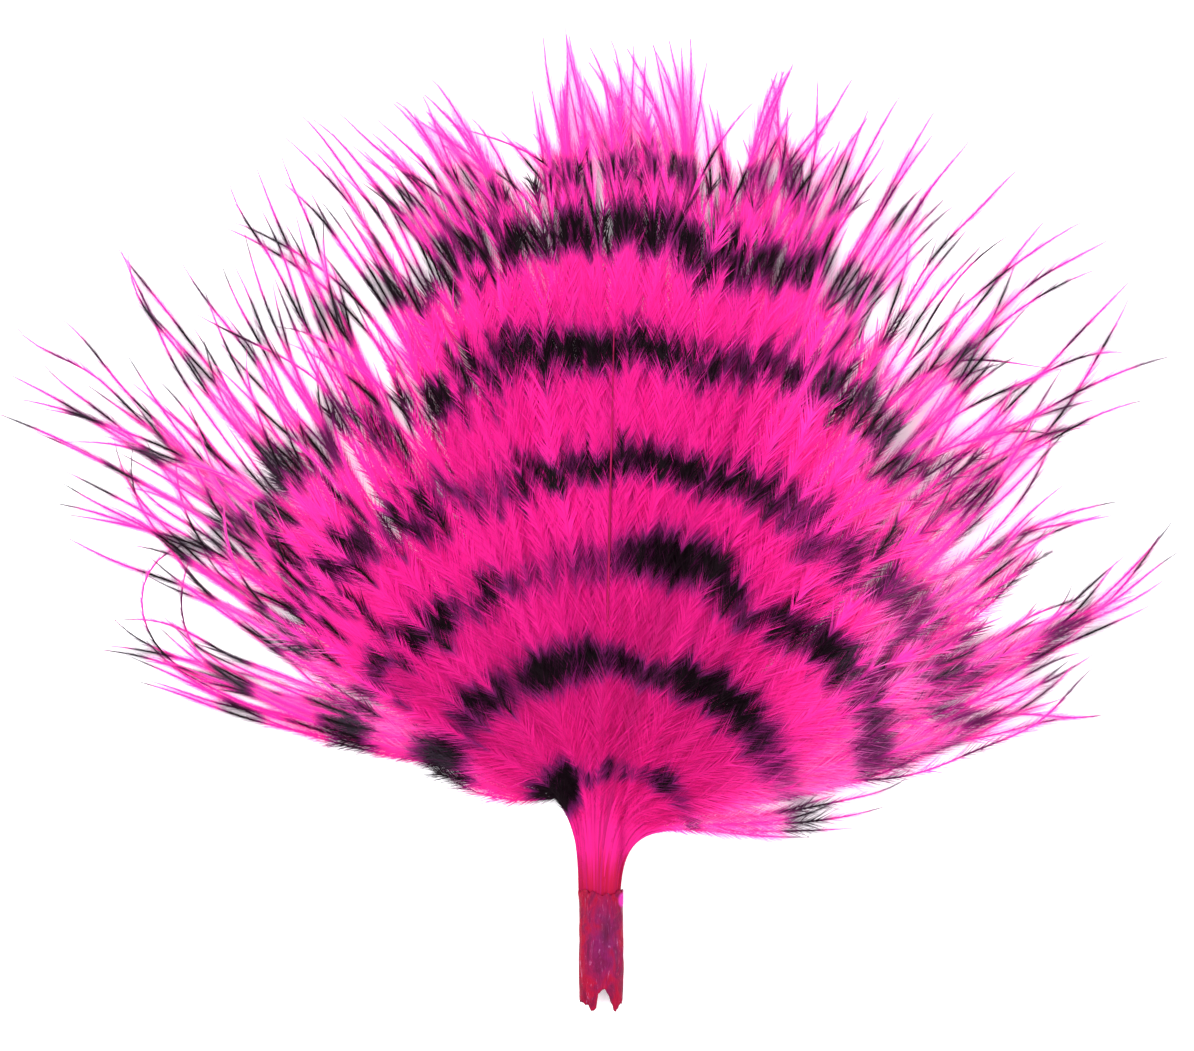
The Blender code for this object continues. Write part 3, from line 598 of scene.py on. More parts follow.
def comb_mesh(lines, lengths, longest, down_ends, brush, step, base):
    """Both combs of every barb. Roots lie a step apart on the stem. The point of a tooth is
    its root plus its length times (cosine of the slant along the barb, plus sine of the
    slant outwards), and outwards is level, rolled up or down by the twist of the barb. Its
    base spans a step, and farther out this many, so that neighbours overlap."""
    along, right, up = frames_along(lines)
    teeth = np.maximum(((lengths * COMB_ENDS - BARBULE_START) / step).astype(int), 2)
    barb = np.repeat(np.arange(len(lines)), teeth + 1)
    first = np.concatenate([[0], np.cumsum(teeth + 1)[:-1]])
    number = np.arange(len(barb)) - first[barb]
    run = BARBULE_START + step * (number + draw.uniform(-STEP_JITTER, STEP_JITTER, len(barb)))
    place = np.clip(run / lengths[barb], 0, 0.9999) * (STATIONS - 1)
    low = place.astype(int)
    part = (place - low)[:, None]
    roots = lines[barb, low] * (1 - part) + lines[barb, low + 1] * part
    ahead, level, upward = along[barb, low], right[barb, low], up[barb, low]

    cling = clinging(run, lengths[barb], down_ends[barb])
    free = 1 - CLING_EVENS * cling
    size = barbule_length(run, lengths[barb], longest[barb], brush, cling)
    closing = np.clip(CLOSING - CLOSING * run / lengths[barb], 0, 1)
    open_angle = FAR_ANGLE + (WIDE_ANGLE - FAR_ANGLE) * closing
    open_angle = open_angle * (1 - cling) + BRUSH_ANGLE * cling
    spot = noise_place(run, barb)
    roll = ROLL * smooth_noise(spot, ROLL_LENGTH, 23)
    points = []
    for side in (-1.0, 1.0):
        tuft = smooth_noise(spot, TUFT, 17 + int(side))
        uneven = draw.uniform(SHORTEST_BARBULE, LONGEST_BARBULE, len(run)) + TUFT_REACH * tuft - 1
        grown = size * (1 + uneven * free)
        swing = draw.normal(0, SLANT_JITTER, len(run)) + TUFT_SWING * tuft
        slant = np.radians(open_angle + swing * free ** 1.5)[:, None]
        tilt = side * roll + draw.normal(TILT, TILT_JITTER, len(run))
        tilt = np.radians(tilt * free)[:, None]
        outward = side * level * np.cos(tilt) + upward * np.sin(tilt)
        point = roots + grown[:, None] * (np.cos(slant) * ahead + np.sin(slant) * outward)
        point[:, 2] = np.maximum(point[:, 2], BARBULE_LOWEST)
        points.append(point)
    here = np.flatnonzero(number < teeth[barb])
    count = len(roots)
    spans = np.where(run[here] > BASE_WIDENS, base, 1)
    across = here - number[here] + np.minimum(number[here] + spans, teeth[barb[here]])
    left = np.stack([here, across, here + count], axis=-1)
    right_side = np.stack([here, here + 2 * count, across], axis=-1)
    verts = np.concatenate([roots, *points])
    return verts, np.concatenate([left, right_side]), barb, run, cling


# %% [markdown]
# ## Putting a lock of barbs into one mesh
#
# All barbs of a region share one mesh. Its attributes tell the material where each point is
# from the bars' centre, how far off the nearest bar it is and how strong that is, how thin
# the down is there, its barb's own tint, and whether it is stem or barbule. One UV map has a
# row for every barb, so that its colours can be baked barb by barb.

# %% Meshes with attributes
def mesh_object(name, verts, faces, material):
    """One object from corner positions and lists of faces of equal corner count. Corners that
    no face uses are left out."""
    corners = np.concatenate([f.ravel() for f in faces])
    used, corners = np.unique(corners, return_inverse=True)
    sizes = np.concatenate([np.full(len(f), f.shape[1]) for f in faces])
    mesh = bpy.data.meshes.new(name)
    mesh.vertices.add(len(used))
    mesh.vertices.foreach_set("co", np.ascontiguousarray(verts[used], np.float32).ravel())
    mesh.loops.add(len(corners))
    mesh.loops.foreach_set("vertex_index", corners.astype(np.int32))
    mesh.polygons.add(len(sizes))
    starts = np.concatenate([[0], np.cumsum(sizes)[:-1]]).astype(np.int32)
    mesh.polygons.foreach_set("loop_start", starts)
    mesh.update(calc_edges=True)
    mesh.polygons.foreach_set("use_smooth", np.ones(len(sizes), bool))
    mesh.materials.append(material)
    piece = bpy.data.objects.new(name, mesh)
    bpy.context.scene.collection.objects.link(piece)
    return piece, used, corners


def set_in_frame(piece):
    """What every piece of this feather says to the frame."""
    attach(piece, "root")
    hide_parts("feather")


def put_attribute(mesh, name, values):
    """One number per point, which a material reads by this name."""
    layer = mesh.attributes.new(name, "FLOAT", "POINT")
    layer.data.foreach_set("value", np.ascontiguousarray(values, np.float32).ravel())


# %% What the dye needs to know
# In the down, only this share of a barbule's reach counts for the bars. With all of it,
# every bar's edge would look combed.
POINT_SHARE = 0.45
TUFT_SLIP_LENGTH = 0.5 * MM
COLOUR_SLIP = 0.9          # mm by which a barb's own colours begin nearer or farther out
TINT_OF_BARB, TINT_OF_BARBULE = 0.25, 0.12


def where_dyed(dyed_at, lengths, leaf, barb, run, cling):
    """Where each point was while the feather was dyed. dyed_at says it for the stations. A
    barbule's root lies between two of them, and its point at a share of its reach from it."""
    station = np.clip(run / lengths[barb] * (STATIONS - 1), 0, STATIONS - 1.001)
    low, part = station.astype(int), (station % 1)[:, None]
    roots = dyed_at[barb, low] * (1 - part) + dyed_at[barb, low + 1] * part
    counts = np.tile(POINT_SHARE + (1 - POINT_SHARE) * cling, 3)[:, None]
    reach = (leaf - np.tile(leaf[:len(barb)], (3, 1))) * counts
    stems = np.repeat(dyed_at.reshape(-1, 3), 3, axis=0)
    return np.concatenate([stems, np.tile(roots, (3, 1)) + reach])


def bake_rows(lengths, barb, run, owner):
    """UV of each point: the share of its barb's length, and its barb's own row, with the stem
    along the middle of the row and the barbules' points near its edges."""
    share = np.tile(np.repeat(np.linspace(0, 1, STATIONS), 3), len(lengths))
    share = np.concatenate([share, np.tile(run / lengths[barb], 3)])
    across = np.tile((0.44, 0.50, 0.56), len(lengths) * STATIONS)
    across = np.concatenate([across, np.repeat((0.5, 0.1, 0.9), len(barb))])
    row = 1.0 / len(lengths)
    return np.stack([np.clip(share, 0, 1), (owner + across) * row], axis=-1)


# %% Barbs as one piece
def barbs_piece(name, lines, lengths, slips, longest, down_ends, brush, step, base, dyed_at):
    """The stems and combs of these barbs as one piece, with its attributes and UV rows. Every
    point draws its own slip, fade and tint, on top of those that its whole barb shares."""
    stem, sides, ends = stem_mesh(lines, lengths)
    leaf, leaves, barb, run, cling = comb_mesh(lines, lengths, longest, down_ends, brush, step, base)
    verts = np.concatenate([stem, leaf])
    piece, used, corners = mesh_object(name, verts, [sides, ends, leaves + len(stem)], down)
    on_barbules = np.arange(len(sides) + len(ends) + len(leaves)) >= len(sides) + len(ends)
    piece.data.polygons.foreach_set("use_smooth", on_barbules)

    dyed = where_dyed(dyed_at, lengths, leaf, barb, run, cling)
    owner = np.concatenate([np.repeat(np.arange(len(lines)), STATIONS * 3), np.tile(barb, 3)])
    none = np.zeros(len(stem))
    loose = np.concatenate([none, np.tile(1 - CLING_EVENS * cling, 3)])
    tufts = smooth_noise(noise_place(run, barb), TUFT_SLIP_LENGTH, 29)
    tufts = np.concatenate([none, np.tile(tufts, 3)])
    own = draw.normal(0, 1, (3, len(verts))) * loose
    shared = draw.normal(0, 1, (2, len(lines)))[:, owner]
    slid = slips[owner] + SLIP_OF_BARBULE * own[0] + SLIP_OF_TUFT * tufts * loose
    fades = STRENGTH_NOISE * shared[0] + HAIR_NOISE * own[1]
    distance, off, strength = bar_values(dyed, slid, fades)
    distance = distance + COLOUR_SLIP * shared[0]
    tints = np.clip(0.5 + TINT_OF_BARB * shared[1] + TINT_OF_BARBULE * own[2], 0, 1)
    on_stem = np.arange(len(verts)) < len(stem) + len(barb)
    for label, values in (
        ("out", distance), ("bar_off", off), ("bar_strength", strength),
        ("thin", thinness(verts)), ("tint", tints), ("on_stem", on_stem),
    ):
        put_attribute(piece.data, label, values[used])

    uv = bake_rows(lengths, barb, run, owner)[used][corners]
    layer = piece.data.uv_layers.new(name="OFBake")
    layer.data.foreach_set("uv", np.ascontiguousarray(uv, np.float32).ravel())

    set_in_frame(piece)
    triangles = 2 * len(sides) + len(ends) + len(leaves)
    print(f"{name}: {len(lines)} barbs, {len(leaves)} barbules, {triangles} triangles")
    return triangles


# %% [markdown]
# ## Finishes
#
# A feather is keratin, as a fingernail is. Dyed down has no gloss of its own, but it lets
# light through: a barbule lit from behind glows, and dye deepens where many lie over each
# other. So its shader mixes a dull surface with a translucent one. The bars are read from
# the barb's own attributes, so they follow each barb wherever it has drifted.

# %% Colours and node helpers
def linear(hex_colour):
    """An sRGB hex colour as linear values: c / 12.92 up to 0.04045, and above it
    ((c + 0.055) / 1.055) to the power 2.4."""
    channels = np.array([int(hex_colour[i:i + 2], 16) for i in (1, 3, 5)]) / 255
    low, high = channels / 12.92, ((channels + 0.055) / 1.055) ** 2.4
    return (*np.where(channels <= 0.04045, low, high), 1.0)


def add_node(tree, kind, settings=None, sockets=None):
    """Adds a node, sets its properties, and fills or links its sockets by name or number."""
    made = tree.nodes.new(kind)
    for name, value in (settings or {}).items():
        setattr(made, name, value)
    for key, value in (sockets or {}).items():
        if isinstance(value, bpy.types.NodeSocket):
            tree.links.new(value, made.inputs[key])
        else:
            made.inputs[key].default_value = value
    return made


def empty_material(name):
    """A material without nodes, and its node tree."""
    material = bpy.data.materials.new(name)
    material.use_nodes = True
    material.node_tree.nodes.clear()
    return material, material.node_tree


def keratin(tree, colour, roughness, specular, **more):
    """The surface of horn, feather or nail: a principled shader with keratin's index."""
    return add_node(tree, "ShaderNodeBsdfPrincipled", {}, {
        "Base Color": colour, "Roughness": roughness, "Specular IOR Level": specular,
        "IOR": 1.54, **more,
    })


def finished(material, tree, shader):
    """The material, with this shader as its surface."""
    add_node(tree, "ShaderNodeOutputMaterial", {}, {"Surface": shader.outputs[0]})
    return material


def colour_ramp(tree, factor, stops):
    """A ramp from (place, hex colour) pairs."""
    ramp = add_node(tree, "ShaderNodeValToRGB", {}, {"Fac": factor})
    elements = ramp.color_ramp.elements
    while len(elements) < len(stops):
        elements.new(0.5)
    for element, (place, colour) in zip(elements, stops):
        element.position = place
        element.color = linear(colour)
    return ramp.outputs["Color"]


# %% Dyed turkey down
# The dye is crimson where the barbs are packed at the neck, hot pink through the fan, and a
# cooler pink in the thin outer down, which lets white light through. Where the black dye is
# weak it reads as purple over the pink.
PINKS = (
    (0.0, "#A80C38"), (0.03, "#BC1246"), (0.06, "#E01D84"), (0.17, "#E81E8E"),
    (0.28, "#EE1E96"), (0.40, "#FF26A8"), (0.80, "#FF2AAE"),
)
THIN_PINK = "#FF46BC"      # a single layer of the outer down
PALE_PINK = "#FFA4E4"      # its edges
# deeper barbs as their own tone, and painted shade on the stems inside the thick down
DEEP_PINK = "#B01262"
WEAK_BLACK = "#7E1C66"
BAR_BLACK = "#14040E"
BAR_GREY = "#6C5E70"       # black dye on a single layer
BAR_EDGE = 0.42            # share of a bar's half width over which it fades into the pink
RAMP_START, RAMP_LENGTH = -5.0, 90.0     # mm that the colour ramp spans
LIGHT_THROUGH = 0.35       # share of the shader that is translucent


def mixed(tree, factor, first, second):
    """Colour mix: first where the factor is 0 and second where it is 1."""
    sockets = {0: factor, 6: first, 7: second}
    return add_node(tree, "ShaderNodeMix", {"data_type": "RGBA"}, sockets).outputs[2]


def graded(tree, value, low, high, start, end):
    """A value's range from low to high, turned into one from start to end and held there."""
    sockets = {0: value, 1: low, 2: high, 3: start, 4: end}
    return add_node(tree, "ShaderNodeMapRange", {}, sockets).outputs[0]


def product(tree, first, second):
    """first times second."""
    return add_node(tree, "ShaderNodeMath", {"operation": "MULTIPLY"}, {0: first, 1: second}).outputs[0]


def dyed_down():
    """Dull at the surface, and about a third of its light comes through from the other side.
    Some barbs are deeper, which tells the hairs apart, and the stems in the thick down are
    darkened with painted shade. Where the down is thin it pales. Bars go over purple into
    black, or into grey where it is thin."""
    material, tree = empty_material("turkey_down_dyed_and_barred")
    out, off, strength, thin, tint, on_stem = (
        add_node(tree, "ShaderNodeAttribute", {"attribute_name": name}).outputs["Fac"]
        for name in ("out", "bar_off", "bar_strength", "thin", "tint", "on_stem")
    )
    along = graded(tree, out, RAMP_START, RAMP_START + RAMP_LENGTH, 0.0, 1.0)
    pink = colour_ramp(tree, along, PINKS)
    deep = product(
        tree, graded(tree, tint, 0.50, 1.0, 0.0, 0.9), graded(tree, out, 20.0, 31.0, 1.0, 0.25)
    )
    pink = mixed(tree, deep, pink, linear(DEEP_PINK))
    # painted shade: the stems inside the thick down are darkened, as if the barbules round them shaded
    # them
    stem_shade = product(tree, on_stem, graded(tree, out, 6.0, 16.0, 0.0, 0.5))
    stem_shade = product(tree, stem_shade, graded(tree, thin, 0.0, 0.5, 1.0, 0.0))
    pink = mixed(tree, stem_shade, pink, linear(DEEP_PINK))
    light = product(tree, thin, graded(tree, on_stem, 0.0, 1.0, 1.0, 0.4))
    light = product(tree, light, graded(tree, tint, 0.9, 0.1, 0.6, 1.0))
    pink = mixed(tree, graded(tree, light, 0.0, 0.5, 0.0, 0.9), pink, linear(THIN_PINK))
    pink = mixed(tree, graded(tree, light, 0.4, 1.0, 0.0, 0.9), pink, linear(PALE_PINK))
    inside = graded(tree, off, 1 - BAR_EDGE, 1 + BAR_EDGE, 1.0, 0.0)
    black = product(tree, inside, strength)
    colour = mixed(tree, graded(tree, black, 0.0, 0.5, 0.0, 1.0), pink, linear(WEAK_BLACK))
    dark = mixed(tree, graded(tree, light, 0.3, 1.0, 0.0, 0.9), linear(BAR_BLACK), linear(BAR_GREY))
    colour = mixed(tree, graded(tree, black, 0.5, 0.85, 0.0, 1.0), colour, dark)
    surface = keratin(tree, colour, 0.62, 0.08)
    through = add_node(tree, "ShaderNodeBsdfTranslucent", {}, {"Color": colour})
    both = add_node(tree, "ShaderNodeMixShader", {}, {
        0: LIGHT_THROUGH, 1: surface.outputs[0], 2: through.outputs[0],
    })
    return finished(material, tree, both)


down = dyed_down()


# %% [markdown]
# ## The fan
#
# All barbs are drawn at once and then sorted by their lead into regions, because a mesh is
# easier to handle in parts of under 200,000 triangles. The locks of the outline lie low in
# the heap and the short barbs of the middle lie over them.

# %% Build the fan
LOCK_STEP = 0.135 * MM     # from one barbule to the next
MIDDLE_STEP = 0.150 * MM
LOCK_BASE, MIDDLE_BASE = 1, 2            # steps spanned by a barbule's base, far out
LEAST_DOWN, MOST_DOWN = 0.75, 1.15       # shares of its region's barbule length
DOWN_ENDS_JITTER = 0.06
# name; leads from and to; greatest barbule length in mm; share of a barb's length at which
# the barbules begin to cling to it; their length from there on in mm
REGIONS = {
    "lock_barbs": (
        ("lower_left", -90, -44, 2.4, 0.68, 3.0), ("upper_left", -44, -10, 2.4, 0.72, 3.0),
        ("top_left", -10, 5, 2.4, 0.82, 4.8), ("top_right", 5, 16.5, 2.4, 0.82, 4.8),
        ("upper_right", 16.5, 47.5, 2.8, 0.78, 4.4), ("lower_right", 47.5, 120, 3.2, 0.84, 4.0),
    ),
    "short_barbs": (
        ("left", -90, -12, 3.2, 1.1, 2.4), ("middle", -12, 40, 3.3, 1.1, 2.4),
        ("right", 40, 120, 3.4, 1.1, 2.4),
    ),
}


def build_region(kind, drawn, step, base):
    """Sorts drawn barbs by lead into this kind's regions and builds one piece for each."""
    total = 0
    for region, low, high, down_size, down_ends, brush in REGIONS[kind]:
        here = (drawn[0] >= low) & (drawn[0] < high)
        count = int(here.sum())
        lines, lengths = barb_lines(*(part[here] for part in drawn))
        longest = down_size * MM * draw.uniform(LEAST_DOWN, MOST_DOWN, count)
        ends = down_ends + draw.normal(0, DOWN_ENDS_JITTER, count)
        total += barbs_piece(
            f"{kind}_{region}", lines, lengths, slips_of(drawn[0][here]), longest, ends,
            brush * MM, step, base, lines,
        )
    return total


total = build_region("lock_barbs", lock_barbs(), LOCK_STEP, LOCK_BASE)
total += build_region("short_barbs", middle_barbs(), MIDDLE_STEP, MIDDLE_BASE)

# %% Build the strays
# A stray was dyed before it bent, so its bars are counted along it as if it lay straight.
STRAY_DOWN, STRAY_DOWN_ENDS, STRAY_BRUSH = 1.2 * MM, 0.6, 1.7 * MM
STRAY_LAYER = 0.55
STRAIGHT_UNTIL = 40        # a curve point past the neck, before which no stray is bent
NECK_RUN = 4.5 * MM        # from a barb's foot to the bars' centre

plans = stray_plans()
lines, lengths = raised(plans, np.full(len(plans), STRAY_LAYER))
first_bearings = bearing_of(plans[:, STRAIGHT_UNTIL] - BAR_CENTRE)
runs = lengths[:, None] * np.linspace(0, 1, STATIONS) - NECK_RUN
straight = np.zeros_like(lines)
straight[..., :2] = BAR_CENTRE + runs[..., None] * bearing_vector(first_bearings)[:, None]
total += barbs_piece(
    "stray_barbs", lines, lengths, draw.normal(0, SLIP_OF_BARB, len(lines)),
    np.full(len(lines), STRAY_DOWN), np.full(len(lines), STRAY_DOWN_ENDS), STRAY_BRUSH,
    LOCK_STEP, LOCK_BASE, straight,
)
print("barbs in all:", total, "triangles")


# %% [markdown]
# ## The sheathed quill
#
# A plume this short was plucked while it was growing: its quill is still wrapped in a dried
# sheath, thin as onion skin, that has shrunk into folds along its length. It was cut off
# with a slant on either side, so it ends in two prongs round a notch. The sheath is a
# flattened tube with a wall: its outer skin runs from the rim at the neck down to the cut,
# turns over the cut edge and runs back up inside.

# %% The shape of the sheath
SHEATH_SIDES = 96
SHEATH_ROWS = 64
SHEATH_TOP = -0.30 * MM
SHEATH_HEIGHTS = np.array((-12.4, -11.0, -8.0, -4.5, -1.8, -0.3)) * MM
SHEATH_HALF_WIDTHS = np.array((1.98, 2.15, 2.22, 2.20, 2.16, 2.26)) * MM
SHEATH_HALF_DEPTHS = np.array((1.05, 1.28, 1.40, 1.45, 1.40, 1.45)) * MM
SHEATH_AXIS_HEIGHT = 1.42 * MM
SHEATH_LOWEST = 0.01 * MM  # it lies on the floor, pressed flat
CUT_X = np.array((-2.6, -1.95, -1.3, -0.9, -0.5, -0.35, 0.0, 0.5, 0.95, 1.2, 1.6, 2.0, 2.8)) * MM
CUT_Y = np.array(
    (-10.9, -11.2, -11.7, -12.15, -11.9, -10.6, -9.95, -10.1, -10.8, -11.5, -12.1, -11.4, -10.8)
) * MM
CUT_RAGGED = 0.10 * MM
FOLD_DEPTH = 0.13 * MM
SHEATH_WALL = 0.16
# waves round the sheath, twist, and weight of each set of folds
FOLDS = ((5, 0.9, 0.9), (8, -1.6, 0.7), (13, 2.2, 0.6), (21, -3.1, 0.4), (3, 6.0, 0.5))
FOLD_BEND, FOLD_BEND_LENGTH, TWIST_LENGTH = 0.6, 2.1 * MM, 4 * MM
FOLD_PHASE = 1.7           # from one set of folds to the next
FOLD_SHARE, FOLD_MIDDLE = 2.2, 0.75      # these bring the sum of all sets to about 1 high
# the ragged rim: height in mm, waves round it, phase
RIM_WAVES = ((0.22, 3, 0.7), (0.12, 11, 0.0), (0.10, 19, 2.0))


def folds(turn, y):
    """Folds of the dried skin, from about -0.5 to 0.5: sharp-crested sines, |sin|, whose
    crests run nearly along the quill, each with its own phase and a slow twist."""
    deep = np.zeros_like(turn)
    for number, (waves, twist, weight) in enumerate(FOLDS):
        phase = FOLD_PHASE * number
        bend = FOLD_BEND * np.sin(y / FOLD_BEND_LENGTH + phase)
        deep += weight * np.abs(np.sin(waves * turn / 2 + twist * y / TWIST_LENGTH + bend + phase))
    return deep / FOLD_SHARE - FOLD_MIDDLE


def sheath_rows():
    """Rows of points, each a flattened circle. Down the outside the rows share out the way
    from the rim to the cut, whose place depends on x. Other rows go back inside at each end."""
    turn = np.linspace(0, 2 * np.pi, SHEATH_SIDES, endpoint=False)
    rim = SHEATH_TOP
    for height, waves, phase in RIM_WAVES:
        rim = rim + height * MM * np.sin(waves * turn + phase)
    cut = np.interp(SHEATH_HALF_WIDTHS[1] * np.cos(turn), CUT_X, CUT_Y)
    cut = cut + CUT_RAGGED * (np.sin(23 * turn) + np.sin(14 * turn + 1.0))
    inner = [(0.0, -1.6 * MM, 1 - 2 * SHEATH_WALL), (0.0, -0.1 * MM, 1 - SHEATH_WALL)]
    outer = [(share, 0.0, 1.0) for share in np.linspace(0, 1, SHEATH_ROWS)]
    back = [
        (1.0, 0.10 * MM, 1 - SHEATH_WALL), (1.0, 1.4 * MM, 1 - 1.5 * SHEATH_WALL),
        (1.0, 3.0 * MM, 1 - 2 * SHEATH_WALL),
    ]
    rows = []
    for share, lift, size in inner + outer + back:
        y = rim + (cut - rim) * share + lift
        pucker = folds(turn, y) * FOLD_DEPTH
        wide = np.interp(y, SHEATH_HEIGHTS, SHEATH_HALF_WIDTHS) * size + pucker
        deep = np.interp(y, SHEATH_HEIGHTS, SHEATH_HALF_DEPTHS) * size + pucker
        z = np.maximum(SHEATH_AXIS_HEIGHT + deep * np.sin(turn), SHEATH_LOWEST)
        rows.append(np.stack([wide * np.cos(turn), y, z], axis=-1))
    return np.array(rows)


def closed_skin(rows):
    """Quads between neighbouring rows of a tube, and a fan of triangles to a middle point at
    either end. Rows run so that the faces look outwards."""
    count, sides = rows.shape[:2]
    verts = np.concatenate([rows.reshape(-1, 3), rows[0].mean(0)[None], rows[-1].mean(0)[None]])
    row, side = np.indices((count - 1, sides))
    here, after = row * sides + side, row * sides + (side + 1) % sides
    quads = np.stack([here, here + sides, after + sides, after], axis=-1).reshape(-1, 4)
    ring = np.arange(sides)
    first = np.stack([ring, np.roll(ring, -1), np.full(sides, count * sides)], axis=-1)
    last = np.stack([np.roll(ring, -1), ring, np.full(sides, count * sides + 1)], axis=-1)
    last[:, :2] += (count - 1) * sides
    return verts, [quads, np.concatenate([first, last])]


def tube_piece(name, rows, material):
    """A closed tube as one piece of the feather, with all its faces turned outwards."""
    verts, faces = closed_skin(rows)
    piece, _, _ = mesh_object(name, verts, faces, material)
    bm = bmesh.new()
    bm.from_mesh(piece.data)
    bmesh.ops.recalc_face_normals(bm, faces=bm.faces)
    bm.to_mesh(piece.data)
    bm.free()
    set_in_frame(piece)
    print(f"{name}: {len(verts)} points from", verts.min(0) / MM, "to", verts.max(0) / MM, "mm")


# %% Dried sheath, a film of keratin
# Onion-skin thin and shrunk in folds: crimson at its sides and both ends, where it is thick,
# plum where a single layer lies over the hollow quill, and mottled with wine. Along the folds,
# pale on the crests is a painted highlight and wine in the troughs is painted shade.
# wine: patches of the sheath's own, and painted shade in the troughs of the folds
SHEATH_WINE_AND_CREASE_SHADE = "#5A082A"
SHEATH_CRIMSON = "#8E062C"
SHEATH_PLUM = "#70124C"
SHEATH_SHADE = "#4A0E32"
# painted highlight on the crests of the folds
SHEATH_CREST_HIGHLIGHT = "#CC80B4"
SHEATH_FLAP = "#C8289A"
PATCH_SIZE = 1.7           # mm, one patch of a colour
STREAK_SIZE = 0.36         # mm, the spacing of the folds' crests, where a highlight is painted
PLUM_MIDDLE = (0.35, -5.2) # mm, where the plum is
PLUM_REACH = (2.2, 5.4)    # mm, across and along
SHADE_MIDDLE = (0.45, -4.3)
SHADE_REACH = (0.8, 2.4)
FLAP_MIDDLE = (2.15, -1.1)
FLAP_REACH = (0.45, 0.75)


def stretched(tree, place, along, size, detail, distortion):
    """Noise whose grains are a size in mm across the quill and longer along it."""
    longer = add_node(tree, "ShaderNodeMapping", {}, {"Vector": place, "Scale": (1.0, along, 1.0)})
    return add_node(tree, "ShaderNodeTexNoise", {}, {
        "Vector": longer.outputs[0], "Scale": 1000 / size, "Detail": detail,
        "Roughness": 0.65, "Distortion": distortion,
    }).outputs["Fac"]


def off_oval(tree, place, middle, reach):
    """Distance from an oval's middle, as a share of its reach in mm: 1 on the oval."""
    centred = add_node(tree, "ShaderNodeMapping", {}, {
        "Vector": place, "Location": (-middle[0] * MM, -middle[1] * MM, 0.0),
    }).outputs[0]
    shares = (1 / (reach[0] * MM), 1 / (reach[1] * MM), 0.0)
    oval = add_node(tree, "ShaderNodeVectorMath", {"operation": "MULTIPLY"}, {0: centred, 1: shares})
    length = {"operation": "LENGTH"}
    return add_node(tree, "ShaderNodeVectorMath", length, {0: oval.outputs[0]}).outputs["Value"]


def dried_sheath():
    """Mottled crimson and plum with a fine net of folds, painted paler on their crests as a
    highlight and darker in their troughs as shade, and a dull gleam along them. To the eye it is a
    crumpled skin over something round and hollow."""
    material, tree = empty_material("dried_feather_sheath_keratin_film")
    place = add_node(tree, "ShaderNodeTexCoord").outputs["Object"]
    patches = stretched(tree, place, 0.5, PATCH_SIZE, 7.0, 1.2)
    streaks = stretched(tree, place, 0.18, STREAK_SIZE, 5.0, 2.2)

    edge = add_node(tree, "ShaderNodeMath", {"operation": "ADD"}, {
        0: off_oval(tree, place, PLUM_MIDDLE, PLUM_REACH), 1: graded(tree, patches, 0.3, 0.7, -0.6, 0.6),
    }).outputs[0]
    plum_gone = graded(tree, edge, 0.3, 1.1, 0.0, 1.0)
    colour = mixed(tree, plum_gone, linear(SHEATH_PLUM), linear(SHEATH_CRIMSON))
    shade = graded(tree, off_oval(tree, place, SHADE_MIDDLE, SHADE_REACH), 0.2, 1.0, 0.85, 0.0)
    colour = mixed(tree, shade, colour, linear(SHEATH_SHADE))
    colour = mixed(tree, graded(tree, patches, 0.50, 0.36, 0.0, 0.75), colour, linear(SHEATH_WINE_AND_CREASE_SHADE))
    # painted shade: wine where the fold noise is low, in the troughs
    colour = mixed(tree, graded(tree, streaks, 0.48, 0.36, 0.0, 0.35), colour, linear(SHEATH_WINE_AND_CREASE_SHADE))
    # painted highlight: pale where the fold noise is high, on the crests
    colour = mixed(tree, graded(tree, streaks, 0.60, 0.72, 0.0, 0.42), colour, linear(SHEATH_CREST_HIGHLIGHT))
    flap = graded(tree, off_oval(tree, place, FLAP_MIDDLE, FLAP_REACH), 0.7, 1.1, 0.9, 0.0)
    colour = mixed(tree, flap, colour, linear(SHEATH_FLAP))
    bump = add_node(tree, "ShaderNodeBump", {}, {
        "Strength": 0.8, "Distance": 0.0002, "Height": streaks,
    }).outputs[0]
    roughness = graded(tree, streaks, 0.3, 0.7, 0.6, 0.35)
    return finished(material, tree, keratin(tree, colour, roughness, 0.06, Normal=bump))


# %% Build the sheath
tube_piece("quill_sheath", sheath_rows(), dried_sheath())


# %% [markdown]
# ## The shaft
#
# The shaft carries on from the quill, up the middle of the fan, and tapers to nothing
# before it reaches the top. It lies just under the uppermost down, so it shows as a thin
# darker line. It is a round tube along a line that follows the heap's height.

# %% Build the shaft
SHAFT_SIDES = 12
SHAFT_STATIONS = 60
SHAFT_ROOT = np.array((0.0, -1.0)) * MM
SHAFT_POINT = np.array((1.3, 56.0)) * MM
SHAFT_WAY = (0.0, 0.22, 0.5, 1.0)
SHAFT_RADII = np.array((0.8, 0.34, 0.15, 0.06)) * MM
SHAFT_DEPTHS = (0.5, 0.55, 0.84, 0.80)   # shares of the heap's height, at the same places
SHAFT_CRIMSON = "#6E0A32"
SHAFT_PINK = "#960E48"
SHAFT_STREAK = 0.25        # mm, spacing of the fibres in its rind


def shaft_rows():
    """Circles square to the line, whose radius falls with the share of its length."""
    share = np.linspace(0, 1, SHAFT_STATIONS)
    plan = SHAFT_ROOT + (SHAFT_POINT - SHAFT_ROOT) * share[:, None]
    radius = np.interp(share, SHAFT_WAY, SHAFT_RADII)
    height = heap_height(plan) * np.interp(share, SHAFT_WAY, SHAFT_DEPTHS)
    middle = np.maximum(height - radius, radius)
    turn = np.linspace(0, 2 * np.pi, SHAFT_SIDES, endpoint=False)
    x = plan[:, :1] + radius[:, None] * np.cos(turn)
    z = middle[:, None] + radius[:, None] * np.sin(turn)
    return np.stack([x, np.repeat(plan[:, 1:], SHAFT_SIDES, axis=1), z], axis=-1)


